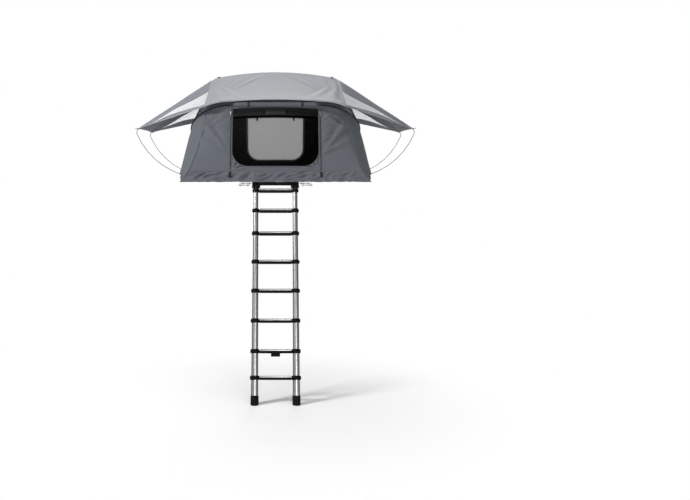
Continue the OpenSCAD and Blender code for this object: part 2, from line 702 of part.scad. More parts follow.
function sum_to(k) = k == 0 ? 0 : sum_to(k - 1) + rung_gaps[k - 1];
function rung_at(k) = first_rung + sum_to(k - 1);
function tube_r(k) = (ladder_top_d + tube_step * (k - 1)) / 2;
ladder_end = rung_at(section_count) + last_gap;
ground_z = pivot_z - ladder_end * cos(ladder_lean);

module on_ladder() {
    translate([0, pivot_y, pivot_z]) rotate([-ladder_lean, 0, 0]) children();
}

module at_ladder_sides() {
    for (s = [-1, 1]) translate([s * ladder_w / 2, 0, 0]) children();
}

module ladder_brackets() {
    top = frame_z - pivot_z;
    back = frame_w + (near_y - pivot_y);
    color("black") translate([0, pivot_y, pivot_z]) at_ladder_sides() {
        translate([-bracket_w / 2, -cheek_r, top - bridge_t]) cube([bracket_w, back + cheek_r, bridge_t]);
        for (x = [-bracket_w / 2, bracket_w / 2 - cheek_t]) difference() {
            union() {
                translate([x, -cheek_r, 0]) cube([cheek_t, 2 * cheek_r, top - bridge_t + 1]);
                x_rod(cheek_r, x, x + cheek_t);
            }
            x_rod(ladder_pin_r + run_fit, x - 1, x + cheek_t + 1);
        }
    }
}

module ladder_pivot_pins() {
    color("silver") translate([0, pivot_y, pivot_z]) at_ladder_sides() {
        x_rod(ladder_pin_r, -bracket_w / 2 - 1, bracket_w / 2 + 1);
        for (x = [-bracket_w / 2 - 5, bracket_w / 2]) x_rod(ladder_pin_r + 4, x, x + 5);
    }
}

module ladder_cross_bar() {
    bar_len = ladder_w - bracket_w;
    color("black") translate([-bar_len / 2, near_y - 12, frame_z - 35]) cube([bar_len, 24, 35]);
}

module ladder_tubes(k) {
    top = k == 1 ? first_rung : rung_at(k) + collar_h / 4;
    low = k < section_count ? rung_at(k + 1) + tube_overlap : ladder_end - foot_floor - 12;
    color("silver") on_ladder() at_ladder_sides() {
        difference() {
            translate([0, 0, -low]) cylinder(r = tube_r(k), h = low - top);
            translate([0, 0, -low - 1]) cylinder(r = tube_r(k) - tube_wall, h = low - top + 2);
        }
        if (k == 1) difference() {
            union() {
                x_rod(cheek_r - 2, -tube_r(1), tube_r(1));
                translate([0, 0, -first_rung - 1]) cylinder(r = tube_r(1) - 4, h = first_rung + 1);
                translate([0, 0, -first_rung - 6]) cylinder(r = tube_r(1) - 0.5, h = 6);
            }
            x_rod(ladder_pin_r + run_fit, -ladder_w, ladder_w);
        }
    }
}

module ladder_rung(k) {
    inner_r = k == 1 ? tube_r(1) - 4 : tube_r(k - 1) + 2 * run_fit;
    color("dimgray") on_ladder() translate([0, 0, -rung_at(k)]) difference() {
        union() {
            at_ladder_sides() translate([0, 0, -collar_h / 2])
                cylinder(r = tube_r(k) + collar_proud, h = collar_h);
            translate([-ladder_w / 2, -rung_depth / 2, -rung_h / 2]) cube([ladder_w, rung_depth, rung_h]);
        }
        at_ladder_sides() {
            translate([0, 0, -collar_h]) cylinder(r = inner_r, h = 2 * collar_h);
            translate([0, 0, -collar_h]) cylinder(r = tube_r(k), h = collar_h - (k == 1 ? 0 : collar_h / 4));
        }
        if (k == section_count - 1) release_pocket();
    }
}

tab_len = 85;
tab_depth = 20;
tab_travel = 8;
tab_grip = 4;

module release_pocket() {
    translate([-tab_len / 2 - 1, -tab_depth / 2 - 1, -rung_h / 2 - 1])
        cube([tab_len + 2, tab_depth + 2, tab_travel + tab_grip + 3]);
}

module release_tab() {
    low = -rung_at(section_count - 1) - rung_h / 2 - tab_drop;
    color("black") on_ladder() translate([-tab_len / 2, -tab_depth / 2, low])
        cube([tab_len, tab_depth, tab_drop + tab_grip]);
}

module ladder_feet() {
    outer = tube_r(section_count) + foot_wall;
    color("black") difference() {
        on_ladder() at_ladder_sides() difference() {
            translate([0, 0, -ladder_end - 30]) cylinder(r = outer, h = foot_h + 30);
            translate([0, 0, -ladder_end + foot_floor + 12]) cylinder(r = tube_r(section_count), h = foot_h);
        }
        translate([-ladder_w, 2 * near_y, ground_z - 100]) cube([2 * ladder_w, -2 * near_y, 100]);
    }
}

mounting_rails();
clamp_bolts();
clamp_plates();
clamp_nuts();
fixed_frame();
fixed_board();
fixed_hinge_plates();
hinge_pins();
far_bow_pins();
fixed_mattress();
far_bow();
ridge_bow();
far_rod_sockets();
far_awning_rods();
rear_wall();
rear_window_mesh();
far_side_left();
far_side_right();
far_roof();
far_fly();
folding_frame();
folding_board();
folding_hinge_plates();
near_bow_pins();
folding_mattress();
near_bow();
near_rod_sockets();
near_awning_rods();
front_wall();
door_roll();
near_side_left();
near_side_right();
near_roof();
near_fly();
door_zips();
zip_slider_left();
zip_slider_right();
hem_tabs();
ladder_brackets();
ladder_pivot_pins();
ladder_cross_bar();
ladder_feet();
release_tab();
for (k = [1:section_count]) {
    ladder_tubes(k);
    ladder_rung(k);
}
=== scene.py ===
"""Looks of a roof top tent with its telescopic ladder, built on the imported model's frame.

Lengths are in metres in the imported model's frame: X along the fold line, -Y towards the ladder, Z up.
"""
import json
import logging
import math
from collections.abc import Callable, Sequence
from dataclasses import dataclass, field
from enum import Enum
from typing import TypeVar

import bmesh
import bpy
import numpy as np
from mathutils import Matrix, Vector, noise


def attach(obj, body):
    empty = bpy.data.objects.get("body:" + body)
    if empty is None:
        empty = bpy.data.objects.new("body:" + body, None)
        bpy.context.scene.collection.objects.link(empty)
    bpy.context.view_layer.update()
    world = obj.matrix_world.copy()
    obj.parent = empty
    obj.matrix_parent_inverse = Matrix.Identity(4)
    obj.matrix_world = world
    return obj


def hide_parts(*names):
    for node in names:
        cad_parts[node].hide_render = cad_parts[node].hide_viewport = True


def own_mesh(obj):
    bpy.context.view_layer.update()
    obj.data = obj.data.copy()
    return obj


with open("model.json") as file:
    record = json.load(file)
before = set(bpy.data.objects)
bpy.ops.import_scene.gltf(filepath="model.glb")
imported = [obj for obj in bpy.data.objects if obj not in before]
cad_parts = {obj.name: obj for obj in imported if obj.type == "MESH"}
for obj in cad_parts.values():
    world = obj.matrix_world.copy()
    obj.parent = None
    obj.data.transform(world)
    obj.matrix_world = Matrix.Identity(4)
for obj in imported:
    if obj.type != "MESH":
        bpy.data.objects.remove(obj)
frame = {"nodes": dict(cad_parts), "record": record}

LOG = logging.getLogger("tent")
Rows = list[list[Vector]]
Value = TypeVar("Value", float, Vector)
# Place of the fold line along Y
FOLD_Y = -0.600


class Half(Enum):
    """The two halves of the tent, on either side of the fold line."""

    NEAR = "near"
    FAR = "far"

    @property
    def body(self) -> str:
        """Name of the body that carries this half's cloth."""
        return "folding_base" if self is Half.NEAR else "fixed_base"


class Side(Enum):
    """Left and right, as the signs of X."""

    LEFT = -1
    RIGHT = 1

    @property
    def word(self) -> str:
        """The side's name in lower case."""
        return self.name.lower()


# Small mathematics


def mix(a: Value, b: Value, t: float) -> Value:
    """Blend two numbers or vectors, with t as the share of the second."""
    return a + (b - a) * t


def smooth(t: float) -> float:
    """Ease a share between 0 and 1."""
    return t * t * (3 - 2 * t)


def spread(low: float, high: float, steps: int) -> list[float]:
    """Even values from low to high, one more than there are steps."""
    return [mix(low, high, i / steps) for i in range(steps + 1)]


# Materials


def linear(hex_colour: str) -> tuple[float, float, float, float]:
    """Turn an sRGB hex colour into linear light.

    Args:
        hex_colour: Six hex digits, such as "a0b0c0".

    Returns:
        Red, green, blue and an alpha of 1.
    """
    values = [int(hex_colour[i:i + 2], 16) / 255 for i in (0, 2, 4)]
    light = [v / 12.92 if v <= 0.04045 else ((v + 0.055) / 1.055) ** 2.4 for v in values]
    return light[0], light[1], light[2], 1.0


def per_metre(millimetres: float) -> float:
    """Texture scale that repeats a pattern at this size."""
    return 1000 / millimetres


def add_node(tree: bpy.types.NodeTree, kind: str, links: dict | None = None,
             **values: object) -> bpy.types.Node:
    """Add a shader node with its settings and links.

    Args:
        tree: Node tree to add to.
        kind: Node type.
        links: Input name to the socket that feeds it.
        values: Node settings, or input values by name with spaces as underscores.

    Returns:
        The node.
    """
    made = tree.nodes.new(kind)
    for name, value in values.items():
        socket = made.inputs.get(name.replace("_", " "))
        if socket is None:
            setattr(made, name, value)
        else:
            socket.default_value = value
    for name, source in (links or {}).items():
        tree.links.new(source, made.inputs[name])
    return made


def mix_shaders(tree: bpy.types.NodeTree, first: bpy.types.NodeSocket, second: bpy.types.NodeSocket,
                share: float) -> bpy.types.NodeSocket:
    """Blend two shaders, with share as the part of the second."""
    return add_node(tree, "ShaderNodeMixShader", {1: first, 2: second}, Fac=share).outputs["Shader"]


def new_material(name: str) -> tuple[bpy.types.Material, bpy.types.NodeTree, bpy.types.Node]:
    """Make an empty node material.

    Args:
        name: The material's name.

    Returns:
        The material, its tree and its output node.
    """
    made = bpy.data.materials.new(name)
    made.use_nodes = True
    made.node_tree.nodes.clear()
    output = add_node(made.node_tree, "ShaderNodeOutputMaterial")
    return made, made.node_tree, output


@dataclass(frozen=True)
class Finish:
    """A surface with fine grain and slow tone changes over one base shader, and painted shade towards its
    outline where rim is set.
    """

    name: str
    colour: str
    roughness: float
    metallic: float = 0.0
    tone: float = 0.05
    tone_mm: float = 300.0
    grain_mm: float = 2.0
    grain_depth_mm: float = 0.1
    grain_strength: float = 0.2
    sheen: float = 0.0
    shine: float = 0.5
    glow: float = 0.0
    holes: float = 0.0
    # rim: share of painted shade that darkens the colour where the surface turns away from view
    rim: float = 0.0
    edge_shade_from: float = 0.1
    edge_shade_to: float = 0.6
    stretch: tuple[float, float, float] = (1.0, 1.0, 1.0)

    def make(self) -> bpy.types.Material:
        """Build the material.

        Returns:
            The finished material.
        """
        made, tree, output = new_material(self.name)
        place = add_node(tree, "ShaderNodeTexCoord").outputs["Object"]
        laid = add_node(tree, "ShaderNodeMapping", {"Vector": place}, Scale=self.stretch).outputs["Vector"]
        slow = add_node(tree, "ShaderNodeTexNoise", {"Vector": place},
                        Scale=per_metre(self.tone_mm), Detail=3.0)
        base = linear(self.colour)
        dark = tuple(c * (1 - self.tone) for c in base[:3]) + (1.0,)
        light = tuple(min(1.0, c * (1 + self.tone)) for c in base[:3]) + (1.0,)
        tint = add_node(tree, "ShaderNodeMix", {"Factor": slow.outputs["Fac"]}, data_type="RGBA")
        tint.inputs[6].default_value = dark
        tint.inputs[7].default_value = light
        grain = add_node(tree, "ShaderNodeTexNoise", {"Vector": laid},
                         Scale=per_metre(self.grain_mm), Detail=2.0)
        bump = add_node(tree, "ShaderNodeBump", {"Height": grain.outputs["Fac"]},
                        Strength=self.grain_strength, Distance=self.grain_depth_mm / 1000)
        colour = tint.outputs[2]
        # Painted shade: the colour darkens towards the outline, standing in for dark reflections at the sides
        if self.rim > 0:
            turned = add_node(tree, "ShaderNodeLayerWeight", Blend=0.5).outputs["Facing"]
            share = add_node(tree, "ShaderNodeMapRange", {"Value": turned}, interpolation_type="SMOOTHSTEP",
                             From_Min=self.edge_shade_from, From_Max=self.edge_shade_to, To_Min=1.0,
                             To_Max=1 - self.rim).outputs["Result"]
            colour = add_node(tree, "ShaderNodeVectorMath", {0: colour, "Scale": share},
                              operation="SCALE").outputs["Vector"]
        shader = add_node(tree, "ShaderNodeBsdfPrincipled",
                          {"Base Color": colour, "Normal": bump.outputs["Normal"]},
                          Roughness=self.roughness, Metallic=self.metallic, Sheen_Weight=self.sheen,
                          Specular_IOR_Level=self.shine)
        surface = shader.outputs["BSDF"]
        if self.glow > 0:
            lit = add_node(tree, "ShaderNodeBsdfTranslucent", {"Color": tint.outputs[2]}).outputs["BSDF"]
            surface = mix_shaders(tree, surface, lit, self.glow)
        if self.holes > 0:
            clear = add_node(tree, "ShaderNodeBsdfTransparent").outputs["BSDF"]
            surface = mix_shaders(tree, surface, clear, self.holes)
        tree.links.new(surface, output.inputs["Surface"])
        return made


@dataclass
class Palette:
    """Every finish of the tent, made once."""

    made: dict[str, bpy.types.Material] = field(default_factory=dict)

    FINISHES = (
        # Polyester-cotton canopy cloth, outside
        Finish("canopy_cloth", "4e5258", 0.85, tone=0.04, grain_mm=1.6, grain_strength=0.25, sheen=0.05),
        # Door cloth, rolled up, darker as painted shade under the fly's hem
        Finish("shaded_rolled_door", "484b50", 0.88, tone=0.08, tone_mm=80, grain_mm=1.6, grain_strength=0.25),
        # Dark back of the canopy cloth: partly its coating, partly painted shade of the unlit inside
        Finish("coated_shaded_canopy_lining", "2b2b2d", 0.9, tone=0.1, grain_mm=1.6),
        # Paler back of the roof cloth
        Finish("roof_lining", "5b5d61", 0.9, tone=0.1, grain_mm=1.6),
        # Pocket sewn under the ceiling
        Finish("pocket_lining", "7f8186", 0.9, tone=0.05, grain_mm=1.6),
        # Coated polyester fly
        Finish("fly_cloth", "8d9094", 0.6, tone=0.03, grain_mm=3.0, grain_strength=0.1),
        # Darker back of the fly, as painted shade for its underside
        Finish("shaded_fly_lining", "575b61", 0.7, tone=0.03, grain_mm=3.0, grain_strength=0.1),
        # Darker copy of the fly cloth beside the awnings' creases and along their hems, as painted shade on
        # the wings
        Finish("wing_cloth", "767a80", 0.65, tone=0.04, grain_mm=3.0, grain_strength=0.1),
        # Thin pale gusset cloth of the awnings
        Finish("gusset_cloth", "ecedee", 0.7, tone=0.02, grain_mm=3.0, grain_strength=0.1, glow=0.6),
        # Window net
        Finish("window_net", "a9aaaa", 0.9, tone=0.06, tone_mm=60, grain_mm=3.0, grain_depth_mm=0.5,
               glow=0.45, holes=0.32),
        # Black woven tape and binding
        Finish("black_tape", "0d0d0e", 0.85, grain_mm=1.5, grain_strength=0.4),
        # Grey seam binding
        Finish("seam_binding", "4d5156", 0.85, grain_mm=1.5),
        # Mattress cover
        Finish("mattress_cover", "3a3b3f", 0.9, tone=0.08, grain_mm=2.0, grain_strength=0.4, sheen=0.1),
        # Anodised aluminium extrusion, with painted shade darkening its edges
        Finish("anodised_aluminium", "b2b2b3", 0.36, 1.0, tone=0.02, grain_mm=0.8, grain_strength=0.02,
               rim=0.8, stretch=(1, 1, 0.03)),
        # Ribbed aluminium rung tread
        Finish("rung_aluminium", "b2b2b2", 0.4, 1.0, tone=0.02, grain_mm=0.8, grain_strength=0.02,
               stretch=(0.03, 1, 1)),
        # Pale faced sandwich board
        Finish("sandwich_board", "a4a6aa", 0.5, grain_mm=6.0),
        # Black powder-coated steel
        Finish("black_steel", "101112", 0.55, grain_mm=1.5, grain_strength=0.3),
        # Aluminium bows, near black with little shine as painted shade inside the tent
        Finish("shaded_bow", "0b0b0c", 0.95, grain_mm=1.5, shine=0.1),
        # Zinc-plated steel
        Finish("zinc_steel", "b9bcc0", 0.35, 1.0),
        # Bright spring steel
        Finish("spring_steel", "7b7d81", 0.4, 0.8),
        # Nickel-plated zip slider
        Finish("nickel", "a9a7a3", 0.35, 1.0),
        # Black moulded nylon
        Finish("black_nylon", "040405", 0.6, grain_mm=1.0, grain_strength=0.15, shine=0.12),
        # Black rubber
        Finish("black_rubber", "0c0c0d", 0.8, grain_mm=1.2, grain_strength=0.3, shine=0.15),
    )

    def __post_init__(self) -> None:
        """Make every finish's material."""
        for finish in self.FINISHES:
            self.made[finish.name] = finish.make()

    def get(self, name: str) -> bpy.types.Material:
        """The material of a finish."""
        return self.made[name]

    def pick(self, *names: str) -> list[bpy.types.Material]:
        """The materials of several finishes, in the same order."""
        return [self.get(name) for name in names]


# Mesh helpers


def new_object(name: str, bm: bmesh.types.BMesh, materials: Sequence[bpy.types.Material]) -> bpy.types.Object:
    """Turn a bmesh into a smooth-shaded scene object.

    Args:
        name: The piece's name.
        bm: Finished geometry, which is freed.
        materials: Materials in slot order.

    Returns:
        The object.
    """
    mesh = bpy.data.meshes.new(name)
    bm.to_mesh(mesh)
    bm.free()
    for material in materials:
        mesh.materials.append(material)
    mesh.shade_smooth()
    made = bpy.data.objects.new(name, mesh)
    bpy.context.scene.collection.objects.link(made)
    LOG.info("made %s", name)
    return made


def bake(made: bpy.types.Object) -> None:
    """Replace an object's mesh by its mesh with the modifiers applied.

    Args:
        made: Object with modifiers.
    """
    graph = bpy.context.evaluated_depsgraph_get()
    baked = bpy.data.meshes.new_from_object(made.evaluated_get(graph))
    made.modifiers.clear()
    made.data = baked


def merge(bm: bmesh.types.BMesh, part: bmesh.types.BMesh) -> None:
    """Add one bmesh's geometry to another.

    Args:
        bm: Geometry to add to.
        part: Geometry that is added and freed.
    """
    mesh = bpy.data.meshes.new("part")
    part.to_mesh(mesh)
    part.free()
    bm.from_mesh(mesh)
    bpy.data.meshes.remove(mesh)


def skin(bm: bmesh.types.BMesh, rings: Sequence[Sequence[bmesh.types.BMVert]], slot: int = 0) -> None:
    """Join closed rings of vertices by faces and close both ends.

    Args:
        bm: Geometry to add to.
        rings: Rings with the same number of vertices.
        slot: Material slot of the faces.
    """
    sides = len(rings[0])
    faces = [bm.faces.new((a[k], a[(k + 1) % sides], b[(k + 1) % sides], b[k]))
             for a, b in zip(rings, rings[1:]) for k in range(sides)]
    faces += [bm.faces.new(list(reversed(rings[0]))), bm.faces.new(rings[-1])]
    for face in faces:
        face.material_index = slot


def add_tube(bm: bmesh.types.BMesh, path: Sequence[Vector], radius: float, sides: int = 10,
             slot: int = 0) -> None:
    """Sweep a round tube along points into a bmesh.

    Args:
        bm: Geometry to add to.
        path: Points along the middle.
        radius: Radius of the tube.
        sides: Sides round the tube.
        slot: Material slot of its faces.
    """
    last = len(path) - 1
    normal = None
    rings = []
    for i, point in enumerate(path):
        heading = (path[min(i + 1, last)] - path[max(i - 1, 0)]).normalized()
        if normal is None:
            normal = heading.orthogonal().normalized()
        normal = (normal - heading * normal.dot(heading)).normalized()
        across = heading.cross(normal)
        turns = [2 * math.pi * k / sides for k in range(sides)]
        rings.append([bm.verts.new(point + radius * (normal * math.cos(t) + across * math.sin(t)))
                      for t in turns])
    skin(bm, rings, slot)


def add_box(bm: bmesh.types.BMesh, low: Vector, high: Vector, bevel: float = 0.0, slot: int = 0) -> None:
    """Add a box with rounded edges to a bmesh.

    Args:
        bm: Geometry to add to.
        low: Lowest corner.
        high: Highest corner.
        bevel: Edge radius.
        slot: Material slot of its faces.
    """
    place = Matrix.Translation((low + high) / 2) @ Matrix.Diagonal((*(high - low), 1.0))
    made = bmesh.ops.create_cube(bm, size=1.0, matrix=place)
    if bevel > 0:
        edges = list({e for v in made["verts"] for e in v.link_edges})
        made = bmesh.ops.bevel(bm, geom=edges, offset=bevel, affect="EDGES", segments=3, profile=0.5,
                               material=-1)
    for vert in made["verts"]:
        for face in vert.link_faces:
            face.material_index = slot


def add_ribbon(bm: bmesh.types.BMesh, path: Sequence[Vector], width: float, thickness: float) -> None:
    """Lay a flat band, level across X, along points into a bmesh.

    Args:
        bm: Geometry to add to.
        path: Points along the middle of its back.
        width: Width across X.
        thickness: Thickness towards -Y.
    """
    half = Vector((width / 2, 0, 0))
    out = Vector((0, -thickness, 0))
    skin(bm, [[bm.verts.new(p + q) for q in (-half, -half + out, half + out, half)] for p in path])


def add_ring(bm: bmesh.types.BMesh, outline: Sequence[tuple[float, float]], steps: int = 48) -> None:
    """Spin a closed outline of radius and height about Z into a bmesh.

    Args:
        bm: Geometry to add to.
        outline: Radius and height of each corner.
        steps: Steps round the turn.
    """
    verts = [bm.verts.new((r, 0.0, z)) for r, z in outline]
    edges = [bm.edges.new((verts[i], verts[(i + 1) % len(verts)])) for i in range(len(verts))]
    bmesh.ops.spin(bm, geom=verts + edges, cent=(0, 0, 0), axis=(0, 0, 1), angle=2 * math.pi,
                   steps=steps, use_merge=True)


# Cloth


@dataclass(frozen=True)
class Crease:
    """A soft ridge in stretched cloth between two points."""

    start: Vector
    end: Vector
    width: float
    height: float

    def lift(self, points: np.ndarray) -> np.ndarray:
        """Height of the ridge at each point.

        Args:
            points: Rows of x, y, z.

        Returns:
            One height a point.
        """
        a = np.array(self.start)
        run = np.array(self.end) - a
        length = run @ run
        share = (points - a) @ run / length
        near = points - a - np.clip(share, 0, 1)[:, None] * run
        gap = np.linalg.norm(near, axis=1)
        fade = np.sin(np.pi * np.clip(share, 0.0, 1.0)) ** 0.6
        return self.height * fade * np.exp(-(gap / self.width) ** 2)


def fan(centre: Vector, first: Vector, last: Vector, count: int, width: float, height: float) -> list[Crease]:
    """Creases that radiate from one point towards a line.

    Args:
        centre: Point they start at.
        first: End of the first crease.
        last: End of the last crease.
        count: Number of creases.
        width: Width of each.
        height: Height of each.

    Returns:
        The creases, alternately high and low.
    """
    hollow = -0.7
    shares = [(i + 0.5) / count for i in range(count)]
    return [Crease(centre, mix(first, last, t), width, height * (1 if i % 2 else hollow))
            for i, t in enumerate(shares)]


def mirrored(half: Half, side: Side = Side.RIGHT) -> Matrix:
    """Placement that carries a piece of the near right quarter to another quarter."""
    turn = Matrix.Diagonal((side.value, 1 if half is Half.NEAR else -1, 1, 1))
    return Matrix.Translation((0, FOLD_Y, 0)) @ turn @ Matrix.Translation((0, -FOLD_Y, 0))


@dataclass
class Sheet:
    """One panel of cloth: a grid of points, its folds and its two sides."""

    name: str
    rows: Rows
    half: Half
    nodes: tuple[str, ...]
    outer: bpy.types.Material
    inner: bpy.types.Material
    slot: str
    side: Side = Side.RIGHT
    creases: list[Crease] = field(default_factory=list)
    ripple: Callable[[Vector], float] | None = None
    slack: Callable[[Vector], float] | None = None
    open_cells: Callable[[Vector], bool] | None = None
    edge_snap: Callable[[Vector], Vector] | None = None
    patches: tuple[tuple[bpy.types.Material, bpy.types.Material], ...] = ()
    patch_of: Callable[[int, int], int] | None = None
    inside: Vector = field(default_factory=lambda: Vector((0, FOLD_Y, 0.25)))
    thickness: float = 0.0012
    held: str = "stretched"
    rests_on: tuple[str, ...] = ()

    def build(self) -> None:
        """Make the panel, fold it, thicken it and place it in the frame."""
        bm = bmesh.new()
        grid = [[bm.verts.new(p) for p in row] for row in self.rows]
        for i in range(len(grid) - 1):
            for j in range(len(grid[0]) - 1):
                corners = (grid[i][j], grid[i][j + 1], grid[i + 1][j + 1], grid[i + 1][j])
                middle = sum((v.co for v in corners), Vector()) / 4
                if self.open_cells is None or not self.open_cells(middle):
                    face = bm.faces.new(corners)
                    face.material_index = 2 * self.patch_of(i, j) if self.patch_of else 0
        bmesh.ops.delete(bm, geom=[v for v in bm.verts if not v.link_faces], context="VERTS")
        if self.edge_snap is not None:
            for vert in bm.verts:
                if vert.is_boundary:
                    vert.co = self.edge_snap(vert.co)
        bmesh.ops.recalc_face_normals(bm, faces=bm.faces)
        bm.normal_update()
        facing = sum(f.normal.dot(f.calc_center_median() - self.inside) for f in bm.faces)
        if facing < 0:
            bmesh.ops.reverse_faces(bm, faces=bm.faces)
        area = sum(f.calc_area() for f in bm.faces)
        self.fold(bm)
        carry = mirrored(self.half, self.side)
        bm.transform(carry)
        if carry.determinant() < 0:
            bmesh.ops.reverse_faces(bm, faces=bm.faces)
        materials = [self.outer, self.inner] + [side for patch in self.patches for side in patch]
        made = new_object(self.name, bm, materials)
        thick = made.modifiers.new("thickness", "SOLIDIFY")
        thick.thickness = self.thickness
        thick.offset = -1
        thick.material_offset = 1
        bake(made)
        self.place(made, area)

    def fold(self, bm: bmesh.types.BMesh) -> None:
        """Lift the creases and ripples out of the panel.

        Args:
            bm: The panel's geometry.
        """
        bm.normal_update()
        verts = list(bm.verts)
        points = np.array([v.co for v in verts])
        lift = np.zeros(len(verts))
        for crease in self.creases:
            lift += crease.lift(points)
        if self.ripple is not None:
            lift += np.array([self.ripple(v.co) for v in verts])
        if self.slack is not None:
            lift *= np.array([self.slack(v.co) for v in verts])
        for vert, value in zip(verts, lift):
            vert.co += vert.normal * value

    def place(self, made: bpy.types.Object, area: float) -> None:
        """Args:
            made: The panel.
            area: Its flat area in square metres, before it is folded. Not used.
        """
        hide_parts(*self.nodes)
        attach_soft(made, self.half.body)


# A point far below the tent, which the roof and the fly face away from
FAR_BELOW = Vector((0, FOLD_Y, -3.0))
# Edges of a stiff piece that turn more than this stay crisp
CRISP_ANGLE = math.radians(35)


def attach_soft(made: bpy.types.Object, body: str) -> None:
    """Make a piece ride on a body, with a mesh of its own."""
    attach(made, body)
    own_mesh(made)


def soft_piece(name: str, bm: bmesh.types.BMesh, materials: Sequence[bpy.types.Material], slot: str,
               body: str, *nodes: str) -> None:
    """Turn geometry into a piece that flattens with the cloth.

    Args:
        name: The piece's name.
        bm: Its geometry.
        materials: Its materials in slot order.
        slot: The record's material slot. Not used.
        body: Body that carries it.
        nodes: Nodes that it stands for.
    """
    made = new_object(name, bm, materials)
    if nodes:
        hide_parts(*nodes)
    attach_soft(made, body)


def hard_piece(name: str, bm: bmesh.types.BMesh, material: bpy.types.Material, slot: str, body: str,
               *nodes: str) -> None:
    """Turn geometry into a stiff piece with crisp edges.

    Args:
        name: The piece's name.
        bm: Its geometry.
        material: Its material.
        slot: The record's material slot. Not used.
        body: Body that carries it.
        nodes: Nodes that it stands for.
    """
    made = new_object(name, bm, [material])
    made.data.set_sharp_from_angle(angle=CRISP_ANGLE)
    if nodes:
        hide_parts(*nodes)
    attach(made, body)


# The tent's shape


@dataclass(frozen=True)
class Bow:
    """A bent tube in its own plane: half width at the pivots, shoulder, crown height and bend."""

    foot_x: float
    shoulder_x: float
    length: float
    rise: float
    bend: float
    cover: float = 0.023
    crown_bend: float = 3.0

    def centre(self) -> tuple[float, float]:
        """Middle of the shoulder's bend.

        Returns:
            Its distance from the middle of the tent and from the pivot line.
        """
        up = Vector((self.shoulder_x - self.foot_x, self.length)).normalized()
        over = Vector((-self.shoulder_x, self.rise)).normalized()
        cut = self.bend * math.tan(up.angle(over) / 2)
        return (self.shoulder_x - up.x * cut - self.bend * up.y, self.length - up.y * cut + self.bend * up.x)

    def over(self, x: float) -> float:
        """Distance of the cloth from the pivot line where it passes over the bow.

        Args:
            x: Distance from the middle of the tent.

        Returns:
            The distance in the bow's plane.
        """
        cx, cy = self.centre()
        radius = self.bend + self.cover
        slope = math.atan2(self.rise, self.shoulder_x)
        top = self.length + self.rise - self.crown_bend * (1 / math.cos(slope) - 1) + self.cover
        x = abs(x)
        if x < cx:
            return cy + radius + (top - cy - radius) * (1 - (x / cx) ** 2)
        return cy + math.sqrt(max(0.0, radius ** 2 - (x - cx) ** 2))

    def beside(self, r: float) -> float:
        """Distance of the cloth from the middle of the tent beside the bow.

        Args:
            r: Distance from the pivot line in the bow's plane.

        Returns:
            The distance along X.
        """
        cx, cy = self.centre()
        radius = self.bend + self.cover
        if r < cy:
            return mix(self.foot_x, self.shoulder_x, r / self.length) + self.cover
        return cx + math.sqrt(max(0.0, radius ** 2 - (r - cy) ** 2))


